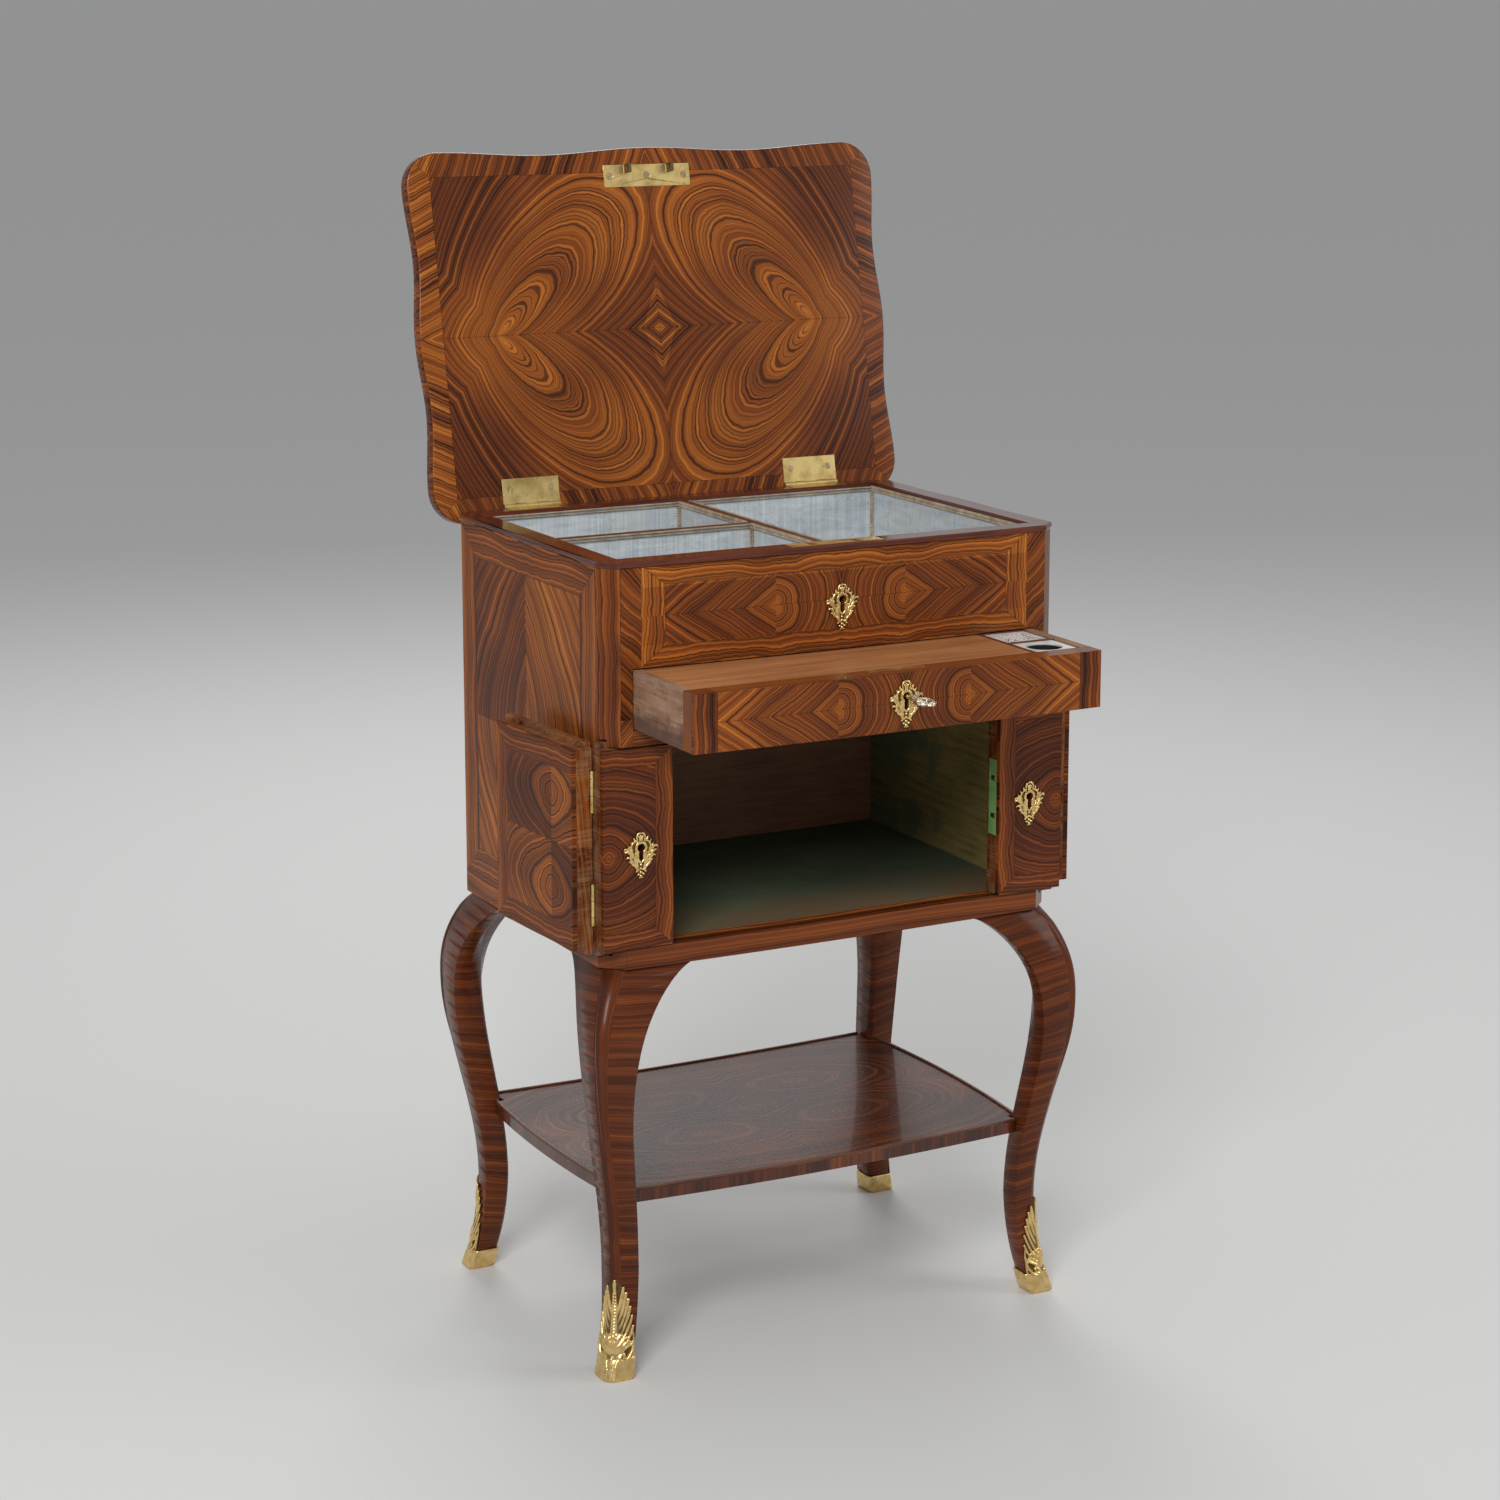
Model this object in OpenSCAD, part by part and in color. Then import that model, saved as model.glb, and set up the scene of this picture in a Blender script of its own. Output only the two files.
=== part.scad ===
// Small writing and work table on cabriole legs, with a lifting lid over a lined well,
// a writing drawer, and a cupboard closed by two sliding, folding shutters.
// It stands open: lid up, drawer out, shutters slid to the corners and folded back.

/* [Body] */
// Width over the side panels
body_w = 490; // [470:1:530]
// Depth from the front corners to the back
body_d = 342; // [330:1:370]
// Height of the legs, up to the underside of the body
leg_h = 402; // [380:1:440]
// Height of the base rail
base_h = 20; // [18:1:26]
// Height of the cupboard opening
cupboard_h = 192; // [180:1:220]
// Height of the rail under the drawer
rail_h = 16; // [14:1:22]
// Height of the drawer opening
drawer_gap_h = 57; // [54:1:70]
// Height of the panel in front of the well
well_front_h = 94; // [86:1:110]
// Thickness of the moulded rim
rim_t = 6; // [5:0.5:8]
// How far the rim stands out over the sides and front
rim_over = 2; // [1:0.5:3]
// Thickness of the side panels
side_t = 22; // [20:0.5:25]
// Thickness of the back
back_t = 18; // [18:0.5:22]
// Thickness of the front frame
front_t = 20; // [20:0.5:24]
// Bevel on the front corners of the upper part
corner_bevel = 16; // [10:0.5:18]
// Bevel on the front corners of the base rail
base_bevel = 20; // [12:0.5:20]
// Bevel on the rear corners
rear_bevel = 14; // [8:0.5:18]
// Forward bow of the front
front_bow = 4; // [2:0.5:6]
// Width of the corner posts beside the well panel
post_w = 37; // [34:1:42]
// Thickness of the thin boards
board_t = 8; // [7:0.5:9]

/* [Well] */
// Thickness of the two dividers
divider_t = 8; // [6:0.5:10]
// Distance from the front to the middle of the cross divider
divider_y = 170; // [120:1:210]
// How far the dividers lie below the rim
divider_drop = 4; // [3:0.5:8]
// Thickness of the silk on its card
silk_t = 1.2; // [0.8:0.1:2]
// Width of the braid
braid_w = 4; // [3:0.5:6]
// Thickness of the braid
braid_t = 1.2; // [0.8:0.1:2]

/* [Lid] */
// Width of the lid between its wave lines
lid_w = 526; // [500:1:560]
// Depth of the lid between its wave lines
lid_d = 365; // [355:1:390]
// Thickness of the lid
lid_t = 16; // [14:0.5:20]
// Corner radius of the lid
lid_r = 32; // [20:1:45]
// Height of the wave in the lid's outline
lid_wave = 2.6; // [1:0.1:3]
// Rounding of the lid's edge
lid_edge = 3.5; // [2:0.5:5]
// How far the lid leans back past upright when open
lid_lean = 10.5; // [5:0.5:15]
// Gap between the closed lid and the rim
lid_gap = 1; // [0.8:0.1:2]
// Distance from the hinge pin to the lid's rear edge
lid_back = 11; // [9:0.5:12]
// Distance between the two lid hinges
lid_hinge_span = 320; // [260:1:360]
// Length of a lid hinge
lid_hinge_l = 62; // [50:1:70]
// Depth of a hinge leaf on the rim, from the pin
rim_leaf_d = 21; // [18:0.5:21]
// Depth of a hinge leaf on the lid, from the pin
lid_leaf_d = 28; // [22:0.5:32]
// Length of the lock plate and the strike plate
plate_l = 98; // [92:1:110]
// Depth of the lock plate
plate_d = 17; // [15:0.5:18]
// Depth of the strike plate
strike_d = 23; // [18:0.5:26]
// Distance between the two hooks
hook_span = 48; // [44:1:54]

/* [Drawer] */
// How far the drawer is pulled out
drawer_out = 120; // [100:1:160]
// Gap round the drawer in its opening
drawer_clear = 1; // [0.6:0.1:1.5]
// Distance from the side panels' inner faces to the drawer opening
drawer_inset = 6; // [5:0.5:12]
// Length of the drawer
drawer_l = 312; // [290:1:320]
// Thickness of the drawer's sides
drawer_side_t = 12; // [11:0.5:14]
// Thickness of the drawer's bottom
drawer_floor_t = 6; // [5:0.5:8]
// Thickness of the writing board
writing_t = 7; // [5:0.5:9]
// Width of the ledge that the writing board lies on
ledge_w = 3; // [2:0.5:4]
// Inner width of the ink compartment
ink_w = 50; // [46:1:56]
// Inner depth of the ink compartment
ink_d = 46.5; // [44:0.5:48]
// Thickness of the partitions
partition_t = 4; // [3:0.5:5]
// Radius of the inkwell's pot
ink_r = 21; // [18:0.5:21]
// Radius of the inkwell's mouth
mouth_r = 17.5; // [14:0.5:17.5]
// How far the key stands out of its escutcheon
key_out = 46; // [38:1:56]
// Travel of the drawer lock's bolt
bolt_travel = 7; // [5:0.5:8]

/* [Shutters] */
// Width of the lock stile of a shutter
stile_w = 71.5; // [66:0.5:76]
// Width of the folding leaf of a shutter
leaf_w = 152; // [140:0.5:152]
// Depth from the front plane to the shutter's inner face
shutter_t = 18; // [17:0.5:19]
// Height of the tongues
tongue_h = 6; // [4:0.5:7]
// Thickness of the tongues
tongue_t = 6; // [4:0.5:6]
// Gap round a shutter
shutter_gap = 0.8; // [0.5:0.1:1.5]
// How far an open shutter's hinge edge stands out past the side
shutter_over = 5; // [4:0.5:8]
// Angle left between a folded leaf and the side
leaf_splay = 4.5; // [1:0.5:8]
// Length of a shutter hinge
shutter_hinge_l = 40; // [30:1:50]
// Height of the hinges' middles above and below the cupboard's middle
hinge_rise = 54; // [40:1:65]

/* [Legs] */
// How far the knee stands out past the body
knee_out = 19; // [12:0.5:24]
// Height of the knee
knee_z = 318; // [300:1:330]
// How far the leg's top lies inside the body's face
leg_top_in = 5; // [2:0.5:8]
// How far the ankle lies inside the body's face
ankle_in = 7; // [2:0.5:12]
// Height of the ankle
ankle_z = 100; // [90:1:130]
// How far the toe stands out past the body
toe_out = 5; // [0:0.5:8]
// Thickness of the leg at the knee
knee_t = 34; // [31:0.5:40]
// Thickness of the leg at the ankle
ankle_t = 27; // [25:0.5:31]
// Thickness of the leg at the foot
foot_t = 24; // [22:0.5:27]
// Width of the bevel on the outer edge of the leg
arris_w = 8; // [6:0.5:11]
// Width of the bevel on the inner edge of the leg
inner_bevel = 4; // [2:0.5:6]
// Reach of the brackets at the leg's top
bracket_l = 60; // [40:1:75]
// Thickness of the brackets at their tips
bracket_t = 18; // [15:0.5:20]

/* [Sabots] */
// Height of the shoe
shoe_h = 20; // [16:1:26]
// Height of the leaf
sabot_h = 97; // [80:1:105]
// Thickness of the casting
sabot_t = 2.2; // [1.6:0.1:3]
// Half the width of the leaf at its foot
sabot_half = 18; // [14:0.5:19]

/* [Shelf] */
// Height of the shelf's top
shelf_z = 180; // [160:1:220]
// Thickness of the shelf
shelf_t = 12.5; // [10:0.5:16]
// Depth from the body's front to the shelf's front corners
shelf_front = 15; // [12:1:22]
// Depth from the body's back to the shelf's rear corners
shelf_rear = 5; // [3:1:8]
// Inset of the shelf's side corners from the body's sides
shelf_side = 23; // [20:1:26]
// Forward bow of the shelf's front
shelf_bow = 10; // [4:1:14]
// Outward bow of the shelf's sides
shelf_side_bow = 10; // [2:1:12]
// Hollow of the shelf's back
shelf_rear_bow = 6; // [0:1:8]
// Width of the raised lip
lip_w = 2.5; // [2:0.5:4]
// Height of the raised lip
lip_h = 2; // [1.5:0.5:4]

/* [Escutcheons] */
// Height of an escutcheon
esc_h = 46; // [40:1:48]
// Width of an escutcheon
esc_w = 36; // [28:1:38]
// Thickness of an escutcheon
esc_t = 2.4; // [1.5:0.1:3]
// Radius of a keyhole's round part
keyhole_r = 3.3; // [2.6:0.1:3.5]

/* [Hidden] */
// heights
base_z = leg_h + base_h;
cupboard_z = base_z + cupboard_h;
drawer_z = cupboard_z + rail_h;
well_z = drawer_z + drawer_gap_h;
rim_z = well_z + well_front_h;
top_z = rim_z + rim_t;
// clearances
seat = 0.3;
fit = 0.1;
pin_fit = 0.05;
overlap = 1;
// body
half_w = body_w / 2;
inner_half = half_w - side_t;
back_y = body_d - back_t;
flat_half = half_w - corner_bevel;
bow_steps = 12;
drawer_half = inner_half - drawer_inset;
// lid hinge
pin_r = 1.2;
knuckle_r = 2.6;
leaf_t = 1.5;
proud = 0.3;
hinge_y = body_d + knuckle_r + 0.6;
hinge_z = top_z + lid_gap / 2;
hinge_knuckles = 5;
lid_angle = 90 + lid_lean;
// locks' walls
lock_wall = 2;
// screws
head_r = 3.3;
shank_r = 1.4;
slot_w = 0.9;
// keyholes, with their round part above the escutcheon's middle and a slot below it
keyhole_up = 7.5;
keyhole_drop = 11.5;
keyhole_slot_w = 3.4;
// drawer
drawer_z0 = drawer_z + drawer_clear;
drawer_z1 = well_z - drawer_clear;
drawer_w = drawer_half - drawer_clear;
drawer_floor_lift = 2;
drawer_floor_z = drawer_z0 + drawer_floor_lift + drawer_floor_t;
writing_z = drawer_z1 - seat - writing_t;
ink_x1 = drawer_w - drawer_side_t + ledge_w;
ink_x0 = ink_x1 - ink_w;
esc_well_drop = 7;
esc_well_z = rim_z - well_front_h / 2 - esc_well_drop;
esc_drawer_drop = 2;
esc_drawer_z = (drawer_z0 + drawer_z1) / 2 - esc_drawer_drop;
key_z = esc_drawer_z + keyhole_up;
drawer_lock_w = 60;
drawer_lock_d = 10;
drawer_lock_h = 40;
bolt_w = 14;
// shutters: the closed hinge pin lies behind the joint of the two leaves
leaf_play = 0.5;
shutter_z0 = base_z + shutter_gap;
shutter_z1 = cupboard_z - shutter_gap;
shutter_mid = (shutter_z0 + shutter_z1) / 2;
fold_x = -(stile_w + 2 * leaf_play);
slide_out = half_w + shutter_over + fold_x + leaf_play;
fold_angle = 90 - leaf_splay;
groove_y = shutter_t - 1.5 - tongue_t;
shutter_esc_x = fold_x + leaf_play + stile_w / 2 + 2;
shutter_knuckle_r = 2.75;
shutter_plate_w = 16;
// locks
lid_lock_y = front_t - 1 - plate_d / 2;
strike_y = lid_lock_y + 7;
lock_case_z = 60;
lock_case_x0 = -hook_span / 2 - 10;
lock_case_x1 = hook_span / 2 + 20;
lock_case_d = 14;
edge_lock_h = 76;
edge_slot_rise = 19;
// middle of the rest pose, front to back
key_tip = -front_bow - drawer_out - esc_t - key_out;
lid_tip = hinge_y + (lid_d - lid_back + lid_wave - lid_edge) * sin(lid_lean)
    + (lid_gap / 2 + lid_t) * cos(lid_lean);
mid_y = (key_tip + lid_tip) / 2;

wood = [0.36, 0.16, 0.07];
dark_wood = [0.24, 0.09, 0.05];
plain_wood = [0.55, 0.33, 0.18];
brass = [0.78, 0.62, 0.30];
gilt = [0.80, 0.60, 0.22];
silk = [0.70, 0.75, 0.79];
silver = [0.75, 0.75, 0.74];
green = [0.08, 0.16, 0.12];

// Shared shapes

// moves a piece from the body's front plane to the frame
module placed() {
    translate([0, -mid_y, 0]) children();
}

// turns the closed lid up and back about its hinge pin
module lid_up() {
    placed() translate([0, hinge_y, hinge_z]) rotate([-lid_angle, 0, 0])
        translate([0, -hinge_y, -hinge_z]) children();
}

module drawer_pulled() {
    placed() translate([0, -drawer_out, 0]) children();
}

// slides a closed shutter piece of the left side to its corner
module stile_open() {
    placed() translate([-slide_out, 0, 0]) children();
}

// and folds the leaf back along the side
module leaf_open() {
    stile_open() translate([fold_x, shutter_t, 0]) rotate([0, 0, -fold_angle])
        translate([-fold_x, -shutter_t, 0]) children();
}

module box(lo, hi) {
    translate(lo) cube(hi - lo);
}

module bar_x(r, x0, x1, y, z) {
    translate([x0, y, z]) rotate([0, 90, 0]) cylinder(r = r, h = x1 - x0, $fn = 32);
}

module bar_y(r, y0, y1, x, z) {
    translate([x, y1, z]) rotate([90, 0, 0]) cylinder(r = r, h = y1 - y0, $fn = 32);
}

module bar_z(r, z0, z1, x, y) {
    translate([x, y, z0]) cylinder(r = r, h = z1 - z0, $fn = 32);
}

// one closed solid through a stack of rings with the same number of points each
module loft(rings) {
    n = len(rings[0]);
    m = len(rings);
    polyhedron(
        points = [for (ring = rings) each ring],
        faces = concat(
            [[for (j = [0:n - 1]) j]],
            [[for (j = [0:n - 1]) m * n - 1 - j]],
            [for (i = [0:m - 2], j = [0:n - 1])
                each [[i * n + j, (i + 1) * n + j, (i + 1) * n + (j + 1) % n],
                    [i * n + j, (i + 1) * n + (j + 1) % n, i * n + (j + 1) % n]]]),
        convexity = 6);
}

// front face of the body at x
function front_y(x) = -front_bow * (1 - min(1, pow(x / flat_half, 2)));

// points of the bowed front from x0 to x1
function bowed(x0, x1, n = bow_steps) =
    [for (i = [0:n]) let (x = x0 + (x1 - x0) * i / n) [x, front_y(x)]];

// a board with the bowed front face, from x0 to x1 and back to y1
module bowed_board(x0, x1, y1, z0, z1) {
    translate([0, 0, z0]) linear_extrude(z1 - z0)
        polygon(concat(bowed(x0, x1), [[x1, y1], [x0, y1]]));
}

// knuckles of one hinge leaf along Z, every second one from the first or second on
module knuckles(r, l, first, bore) {
    step = l / hinge_knuckles;
    for (k = [first:2:hinge_knuckles - 1])
        translate([0, 0, -l / 2 + k * step + seat / 2]) difference() {
            cylinder(r = r, h = step - seat, $fn = 32);
            translate([0, 0, -overlap])
                cylinder(r = bore, h = step + 2 * overlap, $fn = 24);
        }
}

// slotted screw, head down, with its point along +Z
module screw(turn, length) {
    difference() {
        union() {
            cylinder(r = head_r, h = leaf_t * 0.7, $fn = 32);
            cylinder(r = shank_r, h = length, $fn = 24);
        }
        rotate([0, 0, turn]) translate([-head_r - overlap, -slot_w / 2, -overlap])
            cube([2 * head_r + 2 * overlap, slot_w, overlap + 0.6]);
    }
}

// hole that clears a screw's head and shank
module screw_hole(length) {
    translate([0, 0, -overlap]) cylinder(r = head_r + fit, h = leaf_t * 0.7 + fit + overlap,
        $fn = 32);
    cylinder(r = shank_r + fit, h = length + fit, $fn = 24);
}

// keyhole through a plate, along Y, with its round part at the key's height
module keyhole(y0, y1, r) {
    bar_y(r, y0, y1, 0, keyhole_up);
    box([-keyhole_slot_w / 2, y0, keyhole_up - keyhole_drop],
        [keyhole_slot_w / 2, y1, keyhole_up]);
}

// outline of a lobed cartouche, w wide and h high: a drop with ten lobes
function cartouche(w, h, n = 80) =
    [for (i = [0:n - 1]) let (a = 360 * i / n, lobe = (1 + 0.07 * cos(10 * a)) / 1.07,
        drop = a > 180 ? 1 - 0.3 * pow(sin(a), 2) : 1)
        [w / 2 * cos(a) * lobe * drop, h / 2 * sin(a) * (1 + 0.07 * cos(10 * a)) / 0.93]];

// pierced escutcheon on a front face at y, with its keyhole at the origin's height
module escutcheon(y) {
    difference() {
        translate([0, y, 0]) rotate([90, 0, 0]) linear_extrude(esc_t)
            polygon(cartouche(esc_w, esc_h));
        keyhole(y - esc_t - overlap, y + overlap, keyhole_r);
    }
}

// Carcass

module side_panel() {
    translate([0, 0, leg_h]) linear_extrude(rim_z - leg_h)
        polygon([[-half_w, front_t], [-inner_half, front_t], [-inner_half, body_d],
            [rear_bevel - half_w, body_d], [-half_w, body_d - rear_bevel]]);
}

module side_panel_left() {
    color(wood) placed() side_panel();
}

module side_panel_right() {
    color(wood) placed() mirror([1, 0, 0]) side_panel();
}

module back_panel() {
    color(wood) placed()
        box([-inner_half, back_y, leg_h], [inner_half, body_d, rim_z]);
}

// groove for the shutter tongues, open at both corners
module tongue_groove(z0, z1) {
    box([-half_w - overlap, groove_y - seat, z0], [half_w + overlap,
        groove_y + tongue_t + seat, z1]);
}

module corner_post() {
    difference() {
        translate([0, 0, cupboard_z]) linear_extrude(rim_z - cupboard_z)
            polygon(concat([[-half_w, front_t], [-half_w, corner_bevel]],
                bowed(-flat_half, post_w - half_w, 3), [[post_w - half_w, front_t]]));
        box([-drawer_half, -front_bow - overlap, cupboard_z - overlap],
            [post_w, front_t + overlap, well_z]);
        tongue_groove(cupboard_z - overlap, cupboard_z + tongue_h + overlap);
    }
}

module corner_post_left() {
    color(wood) placed() corner_post();
}

module corner_post_right() {
    color(wood) placed() mirror([1, 0, 0]) corner_post();
}

// the lid lock's case, grown on every side but the top
module lid_lock_case(grow, z1) {
    box([lock_case_x0, lid_lock_y - lock_case_d / 2, rim_z - lock_case_z]
        - [grow, grow, grow],
        [lock_case_x1, lid_lock_y + lock_case_d / 2, z1] + [grow, grow, 0]);
}

module well_front() {
    color(wood) placed() difference() {
        bowed_board(post_w - half_w, half_w - post_w, front_t, well_z, rim_z);
        lid_lock_case(fit, top_z);
        translate([0, 0, esc_well_z])
            keyhole(-front_bow - overlap, lid_lock_y, keyhole_r);
        // mortise that the drawer's bolt rises into
        box([-bolt_w / 2 - overlap, front_t - drawer_lock_d / 2, well_z - overlap],
            [bolt_w / 2 + overlap, front_t - lock_wall + overlap, well_z + bolt_travel]);
    }
}

module drawer_rail() {
    color(wood) placed() difference() {
        bowed_board(-drawer_half, drawer_half, front_t, cupboard_z, drawer_z);
        tongue_groove(cupboard_z - overlap, cupboard_z + tongue_h + overlap);
    }
}

module dust_board() {
    color(plain_wood) placed()
        box([-inner_half, front_t, cupboard_z], [inner_half, back_y, cupboard_z + board_t]);
}

module drawer_runners() {
    color(plain_wood) placed() for (side = [0, 1]) mirror([side, 0, 0]) {
        box([-inner_half, front_t, cupboard_z + board_t],
            [2 * drawer_side_t - drawer_half, back_y, drawer_z0 - seat]);
        box([-inner_half, front_t, drawer_z0 - seat],
            [-drawer_w - seat, back_y, drawer_z0 + drawer_gap_h / 2]);
    }
}

module well_floor() {
    color(plain_wood) placed()
        box([-inner_half, front_t, well_z + 1], [inner_half, back_y, well_z + 1 + board_t]);
}

well_floor_z = well_z + 1 + board_t;
divider_z = top_z - divider_drop;

module well_divider_long() {
    color(dark_wood) placed()
        box([-divider_t / 2, front_t, well_floor_z], [divider_t / 2, back_y, divider_z]);
}

module well_divider_cross() {
    color(dark_wood) placed() box([-inner_half, divider_y - divider_t / 2, well_floor_z],
        [-divider_t / 2, divider_y + divider_t / 2, divider_z]);
}

// the three compartments as [low corner, high corner] in plan
compartments = [
    [[-inner_half, divider_y + divider_t / 2], [-divider_t / 2, back_y]],
    [[-inner_half, front_t], [-divider_t / 2, divider_y - divider_t / 2]],
    [[divider_t / 2, front_t], [inner_half, back_y]]];

// box over a compartment, drawn in by a margin on every side
module in_compartment(c, margin, z0, z1) {
    box([c[0][0] + margin, c[0][1] + margin, z0], [c[1][0] - margin, c[1][1] - margin, z1]);
}

module silk_linings() {
    color(silk) placed() for (c = compartments) difference() {
        in_compartment(c, seat, well_floor_z + seat, divider_z);
        in_compartment(c, seat + silk_t, well_floor_z + seat + silk_t, divider_z + overlap);
    }
}

module well_braid() {
    face = seat + silk_t + fit;
    color(gilt) placed() for (c = compartments) difference() {
        in_compartment(c, face, well_floor_z + seat + silk_t + fit, divider_z);
        in_compartment(c, face + braid_t, divider_z - braid_w, divider_z + overlap);
        in_compartment(c, face + braid_t, well_floor_z - overlap, divider_z);
        // leaves only a corner bead below the top edge
        for (axis = [0, 1]) {
            cut = axis == 0 ? [[c[0][0] - 1, c[0][1] + face + braid_w],
                [c[1][0] + 1, c[1][1] - face - braid_w]]
                : [[c[0][0] + face + braid_w, c[0][1] - 1],
                [c[1][0] - face - braid_w, c[1][1] + 1]];
            in_compartment(cut, 0, well_floor_z - overlap, divider_z - braid_w);
        }
    }
}

// outline of the rim, drawn in by d: bowed front, bevelled corners, waved sides
function rim_ring(d, z) = let (x = half_w + rim_over - d, y0 = rim_over - d,
    a = corner_bevel, n = 11)
    [for (p = concat(
        [for (q = bowed(-flat_half, flat_half)) [q[0], q[1] - y0]],
        [for (i = [0:n]) let (t = i / n)
            [x - 1.2 * (1 - cos(720 * t)), a + (body_d - a - rear_bevel) * t]],
        [[half_w - rear_bevel, body_d - d], [rear_bevel - half_w, body_d - d]],
        [for (i = [0:n]) let (t = 1 - i / n)
            [-x + 1.2 * (1 - cos(720 * t)), a + (body_d - a - rear_bevel) * t]]))
        [p[0], p[1], z]];

module rim_stock() {
    difference() {
        loft([rim_ring(1.5, rim_z), rim_ring(0.3, rim_z + 1.2), rim_ring(0, rim_z + 2.2),
            rim_ring(0.3, top_z - 1.8), rim_ring(2, top_z)]);
        box([-inner_half, front_t, rim_z - overlap], [inner_half, back_y, top_z + overlap]);
    }
}

// the four strips of the rim meet in mitres, with a hair's gap
module rim_mitres() {
    far = body_w;
    for (c = [[-inner_half, front_t, 225], [inner_half, front_t, 315],
        [inner_half, back_y, 45], [-inner_half, back_y, 135]])
        translate([c[0], c[1], rim_z - overlap]) rotate([0, 0, c[2]])
            translate([-overlap, -fit / 2, 0]) cube([far, fit, rim_t + 2 * overlap]);
}

lid_hinge_xs = [-lid_hinge_span / 2, lid_hinge_span / 2];
hinge_screw_xs = [-lid_hinge_l * 0.36, lid_hinge_l * 0.36];
rim_screw_y = hinge_y - rim_leaf_d * 0.55;
lid_screw_y = hinge_y - lid_leaf_d * 0.6;
plate_screw_xs = [-plate_l * 0.43, 0, plate_l * 0.43];

module top_rim() {
    color(dark_wood) placed() difference() {
        rim_stock();
        rim_mitres();
        lid_lock_case(fit, top_z);
        box([-plate_l / 2 - fit, lid_lock_y - plate_d / 2 - fit, top_z - leaf_t - fit],
            [plate_l / 2 + fit, lid_lock_y + plate_d / 2 + fit, top_z + overlap]);
        for (x = lid_hinge_xs) {
            box([x - lid_hinge_l / 2 - fit, hinge_y - rim_leaf_d - fit,
                top_z + proud - leaf_t - fit],
                [x + lid_hinge_l / 2 + fit, hinge_y + overlap, top_z + overlap]);
            for (s = hinge_screw_xs) translate([x + s, rim_screw_y, top_z + proud])
                mirror([0, 0, 1]) screw_hole(rim_t - 1);
        }
        for (x = [plate_screw_xs[0], plate_screw_xs[2]]) translate([x, lid_lock_y, top_z])
            mirror([0, 0, 1]) screw_hole(rim_t - 1);
    }
}

module base_rail() {
    color(wood) placed() difference() {
        translate([0, 0, leg_h]) linear_extrude(base_h)
            polygon(concat([[-half_w, front_t], [-half_w, base_bevel]],
                bowed(base_bevel - half_w, half_w - base_bevel),
                [[half_w, base_bevel], [half_w, front_t]]));
        tongue_groove(base_z - tongue_h - overlap, base_z + overlap);
    }
}

cupboard_floor_z = base_z - board_t - 1;
block = 34;
tenon_r = 5;
tenon_x = side_t + 11;
tenon_y = front_t + 11;
tenon_rear_y = body_d - back_t - 13;

module each_corner() {
    for (side = [0, 1]) mirror([side, 0, 0]) children();
}

module corner_blocks() {
    color(plain_wood) placed() each_corner() for (rear = [0, 1]) difference() {
        y = rear == 0 ? front_t : back_y - block;
        box([-inner_half, y, leg_h], [block - inner_half, y + block, cupboard_floor_z]);
        bar_z(tenon_r + fit, leg_h - overlap, cupboard_floor_z + overlap,
            tenon_x - half_w, rear == 0 ? tenon_y : tenon_rear_y);
    }
}

module cupboard_floor() {
    color(plain_wood) placed() box([-inner_half, front_t, cupboard_floor_z],
        [inner_half, back_y, cupboard_floor_z + board_t]);
}

module baize() {
    z = cupboard_floor_z + board_t;
    color(green) placed() box([seat - inner_half, front_t + 4, z],
        [inner_half - seat, back_y - seat, z + 1]);
}

// Legs, drawn for the front left corner: u runs in from the side, v in from the front

leg_foot_z = 1.6;
function ease(t) = (1 - cos(180 * max(0, min(1, t)))) / 2;
function leg_out(z) =
    z >= knee_z
        ? knee_out - (knee_out + leg_top_in) * pow((z - knee_z) / (leg_h - knee_z), 2.2)
        : z >= ankle_z
            ? knee_out - (knee_out + ankle_in) * ease((knee_z - z) / (knee_z - ankle_z))
            : (toe_out + ankle_in) * pow(1 - z / ankle_z, 2.2) - ankle_in;
function leg_core(z) = ankle_t + (knee_t - ankle_t) * ease((z - ankle_z) / (knee_z - ankle_z))
    - (ankle_t - foot_t) * max(0, 1 - z / ankle_z);
bracket_z = leg_h - 172;
function flare(z) = let (t = max(0, min(1, (z - bracket_z) / (leg_h - bracket_z))))
    1 - sqrt(max(0, 1 - t * t));
function arris(z) = arris_w + 8 * pow(max(0, (z - 250) / (leg_h - 250)), 2);

// section of the leg at height z, grown by g all round
function leg_ring(z, g) = let (o = leg_out(z) + g, w = leg_core(z) + 2 * g, c = arris(z),
    f = w + bracket_l * flare(z) - o, i = w - o,
    e = w / 2 + (bracket_t - w / 2) * flare(z), mid = 0.4 * c, k = inner_bevel)
    [[c - o, -o, z], [f, -o, z], [f, e - o, z], [i, i - k, z], [i - k, i, z],
    [e - o, f, z], [-o, f, z], [-o, c - o, z], [mid - o, mid - o, z]];

// heights of the rings, closer together towards the top
leg_rings = 24;
leg_heights = [for (k = [0:leg_rings])
    leg_h - (leg_h - leg_foot_z) * pow(1 - k / leg_rings, 1.5)];

module leg(tenon_v) {
    translate([-half_w, 0, 0]) {
        loft([for (z = leg_heights) leg_ring(z, 0)]);
        bar_z(tenon_r, leg_h - overlap, cupboard_floor_z - seat, tenon_x, tenon_v);
    }
}

module leg_front_left() {
    color(wood) placed() leg(tenon_y);
}

module leg_front_right() {
    color(wood) placed() mirror([1, 0, 0]) leg(tenon_y);
}

module rear_corner() {
    translate([0, body_d, 0]) mirror([0, 1, 0]) children();
}

module leg_rear_left() {
    color(wood) placed() rear_corner() leg(body_d - tenon_rear_y);
}

module leg_rear_right() {
    color(wood) placed() mirror([1, 0, 0]) rear_corner() leg(body_d - tenon_rear_y);
}

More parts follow.
